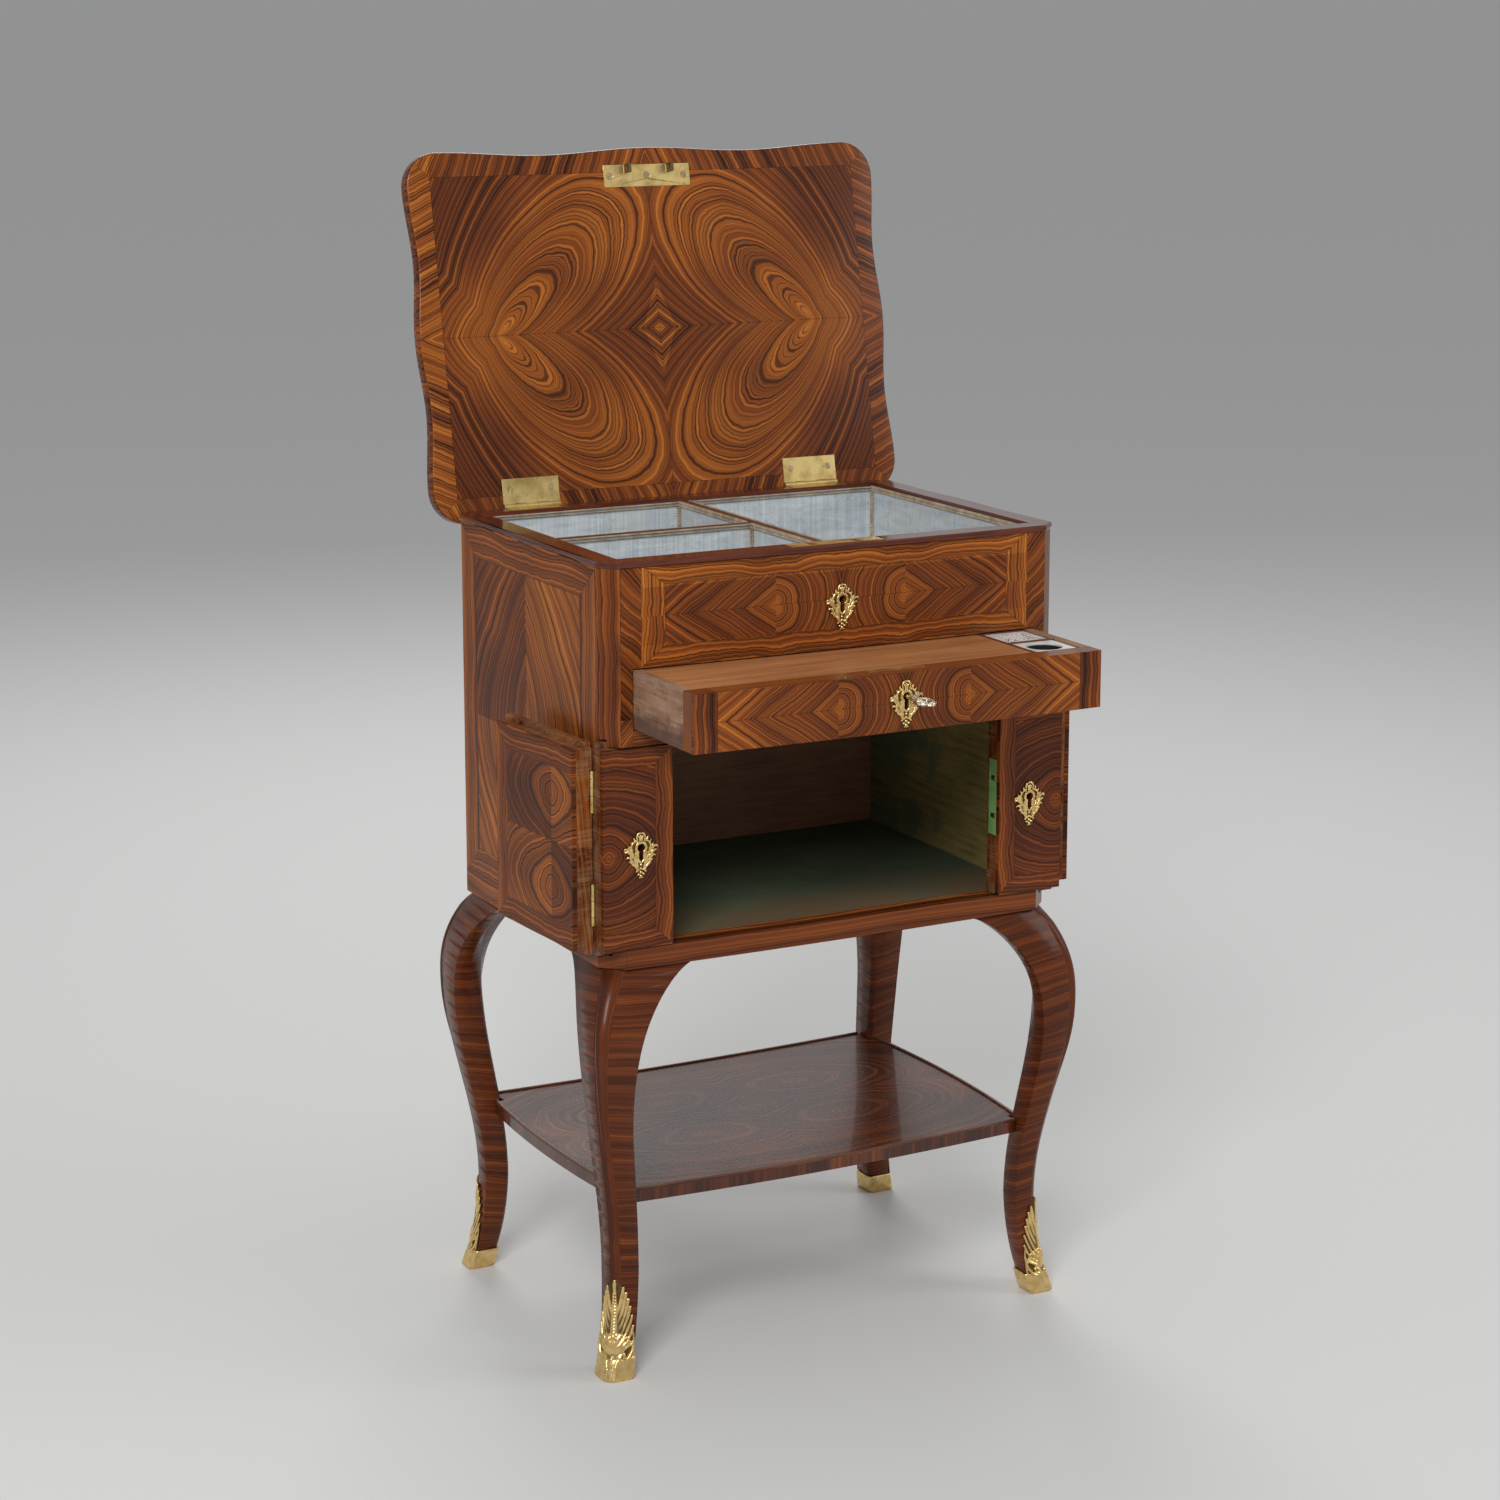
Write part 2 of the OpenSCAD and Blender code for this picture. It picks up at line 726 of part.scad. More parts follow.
// half width of the leaf at height z: lobes that step in towards the tip
lobes = 6;
function lobe_z(k) = shoe_h + (sabot_h - shoe_h) * (0.35 + 0.65 * k / lobes);
function lobe_half(k) = sabot_half * (1 - 0.8 * k / lobes);
function leaf_side() = concat([[sabot_half + 3, shoe_h - 6], [sabot_half + 1, shoe_h + 8]],
    [for (k = [0:lobes - 1]) each [[lobe_half(k), lobe_z(k)],
        [lobe_half(k) - 1.5, lobe_z(k) - 1]]], [[2.5, sabot_h - 3], [0.8, sabot_h]]);

// band of the leaf's outline, as deep along the diagonal as half the leg
module leaf_band() {
    side = leaf_side();
    half = len(side) - 1;
    reach = (leg_core(ankle_z) - 2 * leg_out(ankle_z)) / sqrt(2);
    rotate([90, 0, 135]) translate([0, 0, -60]) linear_extrude(60 + reach)
        polygon(concat(side, [for (k = [half:-1:0]) [-side[k][0], side[k][1]]]));
}

module sabot() {
    wrap_z0 = shoe_h - 4;
    translate([-half_w, 0, 0]) difference() {
        union() {
            loft([for (k = [0:5]) leg_ring(shoe_h * k / 5, sabot_t)]);
            intersection() {
                loft([for (k = [0:10]) leg_ring(wrap_z0 + (sabot_h + 4 - wrap_z0) * k / 10,
                    sabot_t)]);
                leaf_band();
            }
        }
        loft([for (z = leg_heights) if (z < 1.5 * sabot_h) leg_ring(z, fit)]);
    }
}

module sabots() {
    color(gilt) placed() each_corner() {
        sabot();
        rear_corner() sabot();
    }
}

// Shelf

shelf_x = half_w - shelf_side;
shelf_y0 = shelf_front;
shelf_y1 = body_d - shelf_rear;

// outline of the shelf, drawn in by d
function shelf_outline(d) = let (n = 14, cy = (shelf_y0 + shelf_y1) / 2,
    hy = (shelf_y1 - shelf_y0) / 2)
    concat(
        [for (i = [0:n]) let (s = 2 * i / n - 1)
            [s * (shelf_x - d), shelf_y0 + d - shelf_bow * (1 - s * s)]],
        [for (i = [1:n - 1]) let (s = 2 * i / n - 1)
            [shelf_x - d + shelf_side_bow * (1 - s * s), cy + s * (hy - d)]],
        [for (i = [0:n]) let (s = 1 - 2 * i / n)
            [s * (shelf_x - d), shelf_y1 - d - shelf_rear_bow * (1 - s * s)]],
        [for (i = [1:n - 1]) let (s = 1 - 2 * i / n)
            [-shelf_x + d - shelf_side_bow * (1 - s * s), cy + s * (hy - d)]]);

// square notches that let the shelf in between the legs
module leg_notches(z0, z1) {
    o = max(leg_out(z0), leg_out(z1)) + 20;
    i = max(leg_core(z0) - leg_out(z0), leg_core(z1) - leg_out(z1)) + seat;
    for (side = [0, 1]) mirror([side, 0, 0]) {
        box([-half_w - o, -o, z0 - overlap], [i - half_w, i, z1 + overlap]);
        box([-half_w - o, body_d - i, z0 - overlap], [i - half_w, body_d + o, z1 + overlap]);
    }
}

module shelf() {
    color(wood) placed() difference() {
        translate([0, 0, shelf_z - shelf_t]) linear_extrude(shelf_t)
            polygon(shelf_outline(0));
        leg_notches(shelf_z - shelf_t, shelf_z + lip_h);
    }
}

module shelf_lip() {
    color(dark_wood) placed() difference() {
        translate([0, 0, shelf_z]) linear_extrude(lip_h) difference() {
            polygon(shelf_outline(0));
            polygon(shelf_outline(lip_w));
        }
        leg_notches(shelf_z - shelf_t, shelf_z + lip_h);
    }
}

// Fittings of the well

hook_w = 3;
hook_d = 9;
hook_drop = 12;
finger_r = 1.8;
finger_gap = 1.5;
finger_l = 7;
finger_z = top_z - 7.5;

module hook_slots(z0, z1) {
    for (s = [-1, 1]) box([s * hook_span / 2 - 4, lid_lock_y - hook_d / 2 - 1, z0],
        [s * hook_span / 2 + 4, lid_lock_y + hook_d / 2 + 1, z1]);
}

module lid_lock() {
    color(brass) placed() difference() {
        union() {
            box([-plate_l / 2, lid_lock_y - plate_d / 2, top_z - leaf_t],
                [plate_l / 2, lid_lock_y + plate_d / 2, top_z]);
            lid_lock_case(0, top_z - leaf_t);
        }
        lid_lock_case(-lock_wall, top_z - leaf_t);
        hook_slots(top_z - leaf_t - overlap, top_z + overlap);
        translate([0, 0, esc_well_z]) keyhole(0, lid_lock_y, keyhole_r);
        for (x = [plate_screw_xs[0], plate_screw_xs[2]]) translate([x, lid_lock_y, top_z])
            mirror([0, 0, 1]) screw_hole(rim_t - 1);
    }
}

module lid_lock_bolt() {
    finger_x = hook_w / 2 + finger_gap;
    bar_half = lock_case_d / 2 - lock_wall - seat;
    bar_h = 5;
    bar_z0 = top_z + lid_gap - leaf_t - hook_drop - bar_h - 3;
    color(brass) placed() union() {
        for (s = [-1, 1]) {
            x = s * hook_span / 2 + finger_x;
            bar_x(finger_r, x, x + finger_l, lid_lock_y, finger_z);
            box([x + finger_l - 0.5, lid_lock_y - 1.5, bar_z0],
                [x + finger_l + 2.5, lid_lock_y + 1.5, finger_z + finger_r]);
        }
        box([finger_x + finger_l - hook_span / 2, lid_lock_y - bar_half, bar_z0],
            [hook_span / 2 + finger_x + finger_l, lid_lock_y + bar_half, bar_z0 + bar_h]);
    }
}

module well_escutcheon() {
    color(gilt) placed() translate([0, 0, esc_well_z]) escutcheon(-front_bow - fit);
}

// a lid hinge leaf in the closed lid's place, below or above the joint
module lid_leaf(x, upper) {
    z = upper ? hinge_z + lid_gap / 2 - proud : hinge_z - lid_gap / 2 + proud - leaf_t;
    step = lid_hinge_l / hinge_knuckles;
    depth = upper ? lid_leaf_d : rim_leaf_d;
    screw_y = upper ? lid_screw_y : rim_screw_y;
    translate([x, 0, 0]) {
        difference() {
            box([-lid_hinge_l / 2, hinge_y - depth, z],
                [lid_hinge_l / 2, hinge_y, z + leaf_t]);
            bar_x(knuckle_r - 0.2, -lid_hinge_l, lid_hinge_l, hinge_y, hinge_z);
            for (k = [upper ? 1 : 0:2:hinge_knuckles - 1])
                box([-lid_hinge_l / 2 + k * step - (k == 0 ? overlap : seat / 2),
                    hinge_y - knuckle_r - seat, z - overlap],
                    [-lid_hinge_l / 2 + (k + 1) * step + (k == 4 ? overlap : seat / 2),
                    hinge_y + overlap, z + leaf_t + overlap]);
            for (s = hinge_screw_xs) translate([s, screw_y, upper ? z : z + leaf_t])
                mirror([0, 0, upper ? 0 : 1]) screw_hole(leaf_t + 1);
        }
        translate([0, hinge_y, hinge_z]) rotate([0, 90, 0])
            knuckles(knuckle_r, lid_hinge_l, upper ? 0 : 1, pin_r + pin_fit);
    }
}

module lid_hinge_lower() {
    color(brass) placed() for (x = lid_hinge_xs) {
        lid_leaf(x, false);
        bar_x(pin_r, x - lid_hinge_l / 2, x + lid_hinge_l / 2, hinge_y, hinge_z);
    }
}

module rim_screws() {
    color(brass) placed() {
        for (x = lid_hinge_xs, s = hinge_screw_xs)
            translate([x + s, rim_screw_y, top_z + proud]) mirror([0, 0, 1])
                screw((x + s) / 2, rim_t - 1.5);
        for (x = [plate_screw_xs[0], plate_screw_xs[2]]) translate([x, lid_lock_y, top_z])
            mirror([0, 0, 1]) screw(x, rim_t - 1.5);
    }
}

// Lid, drawn closed and then turned up

// rounded rectangle with a double wave along each side, drawn in by d
function wave_ring(hx, hy, r, amp, d, z) = let (n = 12, m = 6)
    [for (k = [0:3]) let (a = k % 2 == 0 ? hx : hy, b = k % 2 == 0 ? hy : hx)
        each [for (q = concat(
            [for (i = [0:n - 1]) let (t = i / n)
                [(a - r) * (2 * t - 1), d - b - amp * cos(720 * t)]],
            [for (j = [0:m - 1]) let (w = -90 + 90 * j / m)
                [a - r + (r - d + amp) * cos(w), r - b + (r - d + amp) * sin(w)]]))
            [q[0] * cos(90 * k) - q[1] * sin(90 * k),
                q[0] * sin(90 * k) + q[1] * cos(90 * k), z]]];

lid_z = top_z + lid_gap;
lid_mid = hinge_y + lid_back - lid_d / 2;
lid_edge_rings = [[0, 1], [0.35, 0.35], [1, 0]];

module lid_board() {
    rings = concat(
        [for (e = lid_edge_rings) [lid_edge * e[1], lid_edge * e[0]]],
        [for (k = [2:-1:0]) [lid_edge * lid_edge_rings[k][1],
            lid_t - lid_edge * lid_edge_rings[k][0]]]);
    color(wood) lid_up() difference() {
        translate([0, lid_mid, lid_z]) loft([for (q = rings)
            wave_ring(lid_w / 2, lid_d / 2, lid_r, lid_wave, q[0], q[1])]);
        for (x = lid_hinge_xs) {
            box([x - lid_hinge_l / 2 - fit, hinge_y - lid_leaf_d - fit, lid_z - overlap],
                [x + lid_hinge_l / 2 + fit, hinge_y, lid_z + leaf_t - proud + fit]);
            bar_x(knuckle_r + seat, x - lid_hinge_l / 2 - fit, x + lid_hinge_l / 2 + fit,
                hinge_y, hinge_z);
            for (s = hinge_screw_xs) translate([x + s, lid_screw_y, lid_z - proud])
                screw_hole(9);
        }
        box([-plate_l / 2 - fit, strike_y - strike_d / 2 - fit, lid_z - overlap],
            [plate_l / 2 + fit, strike_y + strike_d / 2 + fit, lid_z + leaf_t + fit]);
        for (x = plate_screw_xs) translate([x, strike_y, lid_z]) screw_hole(9);
    }
}

module lid_hinge_upper() {
    color(brass) lid_up() for (x = lid_hinge_xs) lid_leaf(x, true);
}

module strike_plate() {
    color(brass) lid_up() difference() {
        union() {
            box([-plate_l / 2, strike_y - strike_d / 2, lid_z],
                [plate_l / 2, strike_y + strike_d / 2, lid_z + leaf_t]);
            for (s = [-1, 1]) box(
                [s * hook_span / 2 - hook_w / 2, lid_lock_y - hook_d / 2, lid_z - hook_drop],
                [s * hook_span / 2 + hook_w / 2, lid_lock_y + hook_d / 2, lid_z + leaf_t / 2]);
        }
        for (s = [-1, 1]) bar_x(finger_r + 0.5, s * hook_span / 2 - hook_w,
            s * hook_span / 2 + hook_w, lid_lock_y, finger_z);
        for (x = plate_screw_xs) translate([x, strike_y, lid_z]) screw_hole(leaf_t + 1);
    }
}

module lid_screws() {
    color(brass) lid_up() {
        for (x = lid_hinge_xs, s = hinge_screw_xs)
            translate([x + s, lid_screw_y, lid_z - proud]) screw((x - s) / 2, 8.5);
        for (x = plate_screw_xs) translate([x, strike_y, lid_z]) screw(x, 8.5);
    }
}

// Drawer, drawn closed and then pulled out

module drawer_lock_body(grow) {
    box([-drawer_lock_w / 2 - grow, front_t - drawer_lock_d - grow,
        drawer_z1 - drawer_lock_h - grow],
        [drawer_lock_w / 2 + grow, front_t + grow, drawer_z1 + grow]);
}

module drawer_front() {
    color(wood) drawer_pulled() difference() {
        bowed_board(-drawer_w, drawer_w, front_t, drawer_z0, drawer_z1);
        drawer_lock_body(fit);
        translate([0, 0, esc_drawer_z]) keyhole(-front_bow - overlap, front_t, keyhole_r);
    }
}

module drawer_sides() {
    color(plain_wood) drawer_pulled() each_corner() difference() {
        box([-drawer_w, front_t, drawer_z0], [drawer_side_t - drawer_w, drawer_l, drawer_z1]);
        box([drawer_side_t - ledge_w - drawer_w, front_t - overlap, writing_z - seat],
            [drawer_side_t + overlap - drawer_w, drawer_l + overlap, drawer_z1 + overlap]);
    }
}

module drawer_back() {
    color(plain_wood) drawer_pulled() box([drawer_side_t - drawer_w, drawer_l - board_t,
        drawer_floor_z], [drawer_w - drawer_side_t, drawer_l, writing_z - seat]);
}

module drawer_bottom() {
    color(plain_wood) drawer_pulled() box([drawer_side_t - drawer_w, front_t,
        drawer_floor_z - drawer_floor_t], [drawer_w - drawer_side_t, drawer_l, drawer_floor_z]);
}

ink_y = front_t + seat;
pounce_y = ink_y + ink_d + partition_t;

module ink_partitions() {
    wall_y = drawer_l - board_t;
    color(plain_wood) drawer_pulled() union() {
        difference() {
            box([ink_x0 - partition_t - ledge_w, ink_y, drawer_floor_z],
                [ink_x0, wall_y, drawer_z1]);
            box([ink_x0 - partition_t - ledge_w - overlap, ink_y - overlap,
                writing_z - seat], [ink_x0 - partition_t, wall_y + overlap,
                drawer_z1 + overlap]);
        }
        for (y = [ink_y + ink_d, pounce_y + ink_d]) {
            box([ink_x0 - overlap, y, drawer_floor_z],
                [drawer_w - drawer_side_t, y + partition_t, drawer_z1]);
            box([ink_x0 - overlap, y, writing_z - seat],
                [ink_x1 - seat, y + partition_t, drawer_z1]);
        }
    }
}

module drawer_lock() {
    mid = front_t - drawer_lock_d / 2;
    color(brass) drawer_pulled() difference() {
        drawer_lock_body(0);
        // chamber that the key's bit turns in
        bar_y(9, front_t - drawer_lock_d - overlap, mid, 0, key_z);
        // channel of the bolt
        box([-bolt_w / 2 - fit, mid + 0.5, key_z - 6],
            [bolt_w / 2 + fit, front_t - lock_wall + fit, drawer_z1 + overlap]);
    }
}

module drawer_lock_bolt() {
    mid = front_t - drawer_lock_d / 2;
    color(brass) drawer_pulled() box([-bolt_w / 2, mid + 0.5 + fit, key_z - 5],
        [bolt_w / 2, front_t - lock_wall, drawer_z1]);
}

module drawer_escutcheon() {
    color(gilt) drawer_pulled() translate([0, 0, esc_drawer_z]) escutcheon(-front_bow - fit);
}

module drawer_key() {
    face = -front_bow - esc_t;
    mid = front_t - drawer_lock_d / 2;
    bow_r = 8;
    bow_y = face - key_out + bow_r + 2;
    color(gilt) drawer_pulled() translate([0, 0, key_z]) union() {
        bar_y(2.2, bow_y + bow_r - 1, mid - 0.5, 0, 0);
        // bit inside the lock
        box([-1, mid - 4, -8], [1, mid - 0.5, -1]);
        // collar and pierced bow
        bar_y(3.6, face - 14, face - 10, 0, 0);
        difference() {
            translate([0, bow_y, -1.6]) union() {
                cylinder(r = bow_r + 2, h = 3.2, $fn = 40);
                for (s = [-1, 1]) translate([s * 5, 0, 0]) cylinder(r = bow_r, h = 3.2, $fn = 40);
            }
            for (s = [-1, 1]) bar_z(4.2, -3, 3, s * 6, bow_y);
        }
    }
}

module writing_board() {
    color([0.62, 0.34, 0.17]) drawer_pulled()
        box([drawer_side_t - ledge_w + seat - drawer_w, ink_y, writing_z],
            [ink_x0 - partition_t - seat, drawer_l - 0.5, writing_z + writing_t]);
}

// places a pot in its compartment, with its foot on the drawer's bottom
module in_pot(y) {
    drawer_pulled() translate([(ink_x0 + drawer_w - drawer_side_t) / 2, y + ink_d / 2,
        drawer_floor_z + fit]) children();
}

pot_h = drawer_z1 - 1 - drawer_floor_z - fit;
flange_x0 = ink_x0 + seat - (ink_x0 + drawer_w - drawer_side_t) / 2;
flange_x1 = -flange_x0;

module flange(z0, z1) {
    box([flange_x0, seat - ink_d / 2, z0], [flange_x1, ink_d / 2 - seat, z1]);
}

module inkwell() {
    color(silver) in_pot(ink_y) difference() {
        union() {
            cylinder(r = ink_r, h = pot_h, $fn = 64);
            flange(pot_h - 2, pot_h);
        }
        translate([0, 0, 1.2]) cylinder(r = mouth_r, h = pot_h, $fn = 64);
    }
}

module pounce_box() {
    wall = 1.2;
    color(silver) in_pot(pounce_y) difference() {
        flange(0, pot_h);
        box([flange_x0 + wall, seat + wall - ink_d / 2, wall],
            [flange_x1 - wall, ink_d / 2 - seat - wall, pot_h - wall]);
        // sprinkling holes
        for (i = [-2:2], j = [-2:2]) bar_z(1, pot_h - 2 * wall, pot_h + overlap, i * 5, j * 5);
    }
}

// Shutters, drawn closed for the left side

leaf_x = fold_x - leaf_play;
hinge_zs = [shutter_mid - hinge_rise, shutter_mid + hinge_rise];
meet_x = -leaf_play;
edge_lock_z = shutter_mid + 2;
esc_z = shutter_mid - 6;

// shutter panel from x0 to x1 with tongues above and below
module shutter_panel(x0, x1) {
    bowed_board(x0, x1, shutter_t, shutter_z0, shutter_z1);
    box([x0, groove_y, shutter_z0 - tongue_h], [x1, groove_y + tongue_t,
        shutter_z1 + tongue_h]);
}

// notch for the knuckles, and recess for a hinge plate that runs off to one side
module hinge_recess(dir) {
    for (z = hinge_zs) {
        bar_z(shutter_knuckle_r + seat, z - shutter_hinge_l / 2 - seat,
            z + shutter_hinge_l / 2 + seat, fold_x, shutter_t);
        box([dir > 0 ? fold_x : fold_x - shutter_plate_w - fit, shutter_t - leaf_t - fit,
            z - shutter_hinge_l / 2 - fit],
            [dir > 0 ? fold_x + shutter_plate_w + fit : fold_x, shutter_t + overlap,
            z + shutter_hinge_l / 2 + fit]);
    }
}

module shutter_stile() {
    difference() {
        shutter_panel(fold_x + leaf_play, meet_x);
        hinge_recess(1);
        translate([shutter_esc_x, 0, esc_z])
            keyhole(-front_bow - overlap, shutter_t / 2, keyhole_r);
        // pocket in the meeting edge
        box([meet_x - 24 - fit, 2 - fit, edge_lock_z - edge_lock_h / 2 - fit],
            [meet_x + overlap, shutter_t - 2 + fit, edge_lock_z + edge_lock_h / 2 + fit]);
    }
}

module shutter_leaf() {
    difference() {
        shutter_panel(leaf_x - leaf_w, leaf_x);
        hinge_recess(-1);
    }
}

// hinge plates on the inner face, to one side of the pin
module shutter_hinge_leaf(dir) {
    step = shutter_hinge_l / hinge_knuckles;
    first = dir > 0 ? 0 : 1;
    for (z = hinge_zs) translate([fold_x, shutter_t, z]) {
        difference() {
            box([dir > 0 ? 0 : -shutter_plate_w, -leaf_t, -shutter_hinge_l / 2],
                [dir > 0 ? shutter_plate_w : 0, 0, shutter_hinge_l / 2]);
            bar_z(shutter_knuckle_r - 0.2, -shutter_hinge_l, shutter_hinge_l, 0, 0);
            for (k = [1 - first:2:hinge_knuckles - 1])
                box([-shutter_knuckle_r - seat, -shutter_knuckle_r - seat,
                    -shutter_hinge_l / 2 + k * step - (k == 0 ? overlap : seat / 2)],
                    [shutter_knuckle_r + seat, shutter_knuckle_r + seat,
                    -shutter_hinge_l / 2 + (k + 1) * step + (k == 4 ? overlap : seat / 2)]);
        }
        knuckles(shutter_knuckle_r, shutter_hinge_l, first, pin_r + pin_fit);
    }
}

module stile_hinges() {
    shutter_hinge_leaf(1);
    for (z = hinge_zs) bar_z(pin_r, z - shutter_hinge_l / 2, z + shutter_hinge_l / 2,
        fold_x, shutter_t);
}

module edge_slots(depth) {
    for (s = [-1, 1]) box([meet_x - depth, shutter_t / 2 - 5, edge_lock_z
        + s * edge_slot_rise - 2.5], [meet_x + overlap, shutter_t / 2 + 5,
        edge_lock_z + s * edge_slot_rise + 2.5]);
}

module edge_box(x0, x1, wall) {
    box([x0, 2 + wall, edge_lock_z - edge_lock_h / 2 + wall],
        [x1, shutter_t - 2 - wall, edge_lock_z + edge_lock_h / 2 - wall]);
}

// lock let into the meeting edge, and the keeper that faces it
module edge_lock() {
    difference() {
        edge_box(meet_x - 24, meet_x, 0);
        edge_box(meet_x - 24 + lock_wall, meet_x - lock_wall, lock_wall);
        edge_slots(lock_wall + overlap);
    }
}

module edge_keeper() {
    difference() {
        edge_box(meet_x - 24, meet_x, 0);
        edge_slots(20);
    }
}

module edge_bolts() {
    x1 = meet_x - 0.2;
    union() {
        for (s = [-1, 1]) box([x1 - 14, shutter_t / 2 - 4, edge_lock_z + s * edge_slot_rise
            - 1.8], [x1, shutter_t / 2 + 4, edge_lock_z + s * edge_slot_rise + 1.8]);
        box([x1 - 14, shutter_t / 2 - 1.5, edge_lock_z - edge_slot_rise],
            [x1 - 9, shutter_t / 2 + 1.5, edge_lock_z + edge_slot_rise]);
    }
}

module stile_escutcheon() {
    translate([shutter_esc_x, 0, esc_z]) escutcheon(front_y(meet_x) - fit);
}

module left_shutter_stile() {
    color(wood) stile_open() shutter_stile();
}

module left_shutter_leaf() {
    color(wood) leaf_open() shutter_leaf();
}

module left_stile_hinges() {
    color(brass) stile_open() stile_hinges();
}

module left_leaf_hinges() {
    color(brass) leaf_open() shutter_hinge_leaf(-1);
}

module left_shutter_escutcheon() {
    color(gilt) stile_open() stile_escutcheon();
}

module left_shutter_keeper() {
    color(brass) stile_open() edge_keeper();
}

module right_shutter_stile() {
    color(wood) mirror([1, 0, 0]) stile_open() shutter_stile();
}

module right_shutter_leaf() {
    color(wood) mirror([1, 0, 0]) leaf_open() shutter_leaf();
}

module right_stile_hinges() {
    color(brass) mirror([1, 0, 0]) stile_open() stile_hinges();
}

module right_leaf_hinges() {
    color(brass) mirror([1, 0, 0]) leaf_open() shutter_hinge_leaf(-1);
}

module right_shutter_escutcheon() {
    color(gilt) mirror([1, 0, 0]) stile_open() stile_escutcheon();
}

module right_shutter_lock() {
    color(brass) mirror([1, 0, 0]) stile_open() edge_lock();
}

module right_shutter_bolts() {
    color(brass) mirror([1, 0, 0]) stile_open() edge_bolts();
}

side_panel_left();
side_panel_right();
back_panel();
corner_post_left();
corner_post_right();
well_front();
drawer_rail();
dust_board();
drawer_runners();
well_floor();
well_divider_long();
well_divider_cross();
silk_linings();
well_braid();
top_rim();
base_rail();
corner_blocks();
cupboard_floor();
baize();
leg_front_left();
leg_front_right();
leg_rear_left();
leg_rear_right();
sabots();
shelf();
shelf_lip();
lid_lock();
lid_lock_bolt();
well_escutcheon();
lid_hinge_lower();
rim_screws();
lid_board();
lid_hinge_upper();
strike_plate();
lid_screws();
drawer_front();
drawer_sides();
drawer_back();
drawer_bottom();
ink_partitions();
drawer_lock();
drawer_lock_bolt();
drawer_escutcheon();
drawer_key();
writing_board();
inkwell();
pounce_box();
left_shutter_stile();
left_shutter_leaf();
left_stile_hinges();
left_leaf_hinges();
left_shutter_escutcheon();
left_shutter_keeper();
right_shutter_stile();
right_shutter_leaf();
right_stile_hinges();
right_leaf_hinges();
right_shutter_escutcheon();
right_shutter_lock();
right_shutter_bolts();
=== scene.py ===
import math
from contextlib import contextmanager

import bmesh
import bpy
import numpy as np
from mathutils import Matrix, Vector


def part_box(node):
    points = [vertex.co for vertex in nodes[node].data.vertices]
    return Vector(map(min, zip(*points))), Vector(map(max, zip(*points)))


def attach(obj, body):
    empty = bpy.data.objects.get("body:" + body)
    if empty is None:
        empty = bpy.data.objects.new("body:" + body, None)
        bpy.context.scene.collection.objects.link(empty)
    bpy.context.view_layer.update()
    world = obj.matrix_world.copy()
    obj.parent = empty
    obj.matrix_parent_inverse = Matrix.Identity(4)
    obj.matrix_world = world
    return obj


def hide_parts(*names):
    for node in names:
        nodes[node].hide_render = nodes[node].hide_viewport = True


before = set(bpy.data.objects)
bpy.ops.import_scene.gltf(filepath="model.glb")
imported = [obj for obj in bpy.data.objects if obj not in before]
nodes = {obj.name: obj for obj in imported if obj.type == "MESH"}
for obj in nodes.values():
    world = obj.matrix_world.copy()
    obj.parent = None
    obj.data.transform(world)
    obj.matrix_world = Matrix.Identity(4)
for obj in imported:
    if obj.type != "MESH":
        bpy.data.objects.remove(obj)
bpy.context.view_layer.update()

mm = 0.001

# the table's own sizes, in millimetres, in the body's coordinates
mid_y = 126.686
half_w, body_d, inner_half, back_y = 245, 342, 223, 324
top_z, well_floor_z, divider_z = 787, 696, 783
hinge_y, hinge_z, lid_turn = 345.2, 787.5, math.radians(100.5)
drawer_out, drawer_lock_z, front_y = 120, 656.5, -4.1
slide_out, fold_x, shutter_t, fold_turn = 178, -72.5, 18, math.radians(85.5)
leg_h, knee_z, ankle_z, foot_z = 402, 318, 100, 1.6
ink_x, ink_y, pot_top, mouth_r = 180.5, -203.15, 685, 17.5

# middles of the veneered panels, and the distance at which a joint no longer shows
well_mid_z, drawer_mid_z, side_mid_y, side_mid_z = 735, 658.5, 176, 592
lid_mid, leaf_mid_x, leaf_mid_z, stile_mid_x, stile_mid_z = 171.5, -76.5, 518, -72, 512
far = 50


# Node trees

class Tree:
    """A node tree to which nodes are added with their settings and inputs."""

    def __init__(self, tree):
        self.tree = tree

    def socket(self, sockets, key):
        """A socket by its identifier, or else by its name or place."""
        found = [s for s in sockets if s.identifier == key]
        return found[0] if found else sockets[key]

    def feed(self, socket, value):
        """Sets an input to a value or links it to an output."""
        if isinstance(value, Amount):
            value = value.socket
        if isinstance(value, bpy.types.NodeSocket):
            self.tree.links.new(value, socket)
        else:
            socket.default_value = (*value[:3], 1) if socket.type == "RGBA" else value

    def add(self, kind, inputs, out=0, **settings):
        """Adds a node with its settings and its inputs, and gives its output's socket."""
        node = self.tree.nodes.new(kind)
        for key, value in settings.items():
            setattr(node, key, value)
        for key, value in inputs.items():
            self.feed(self.socket(node.inputs, key), value)
        return self.socket(node.outputs, out)


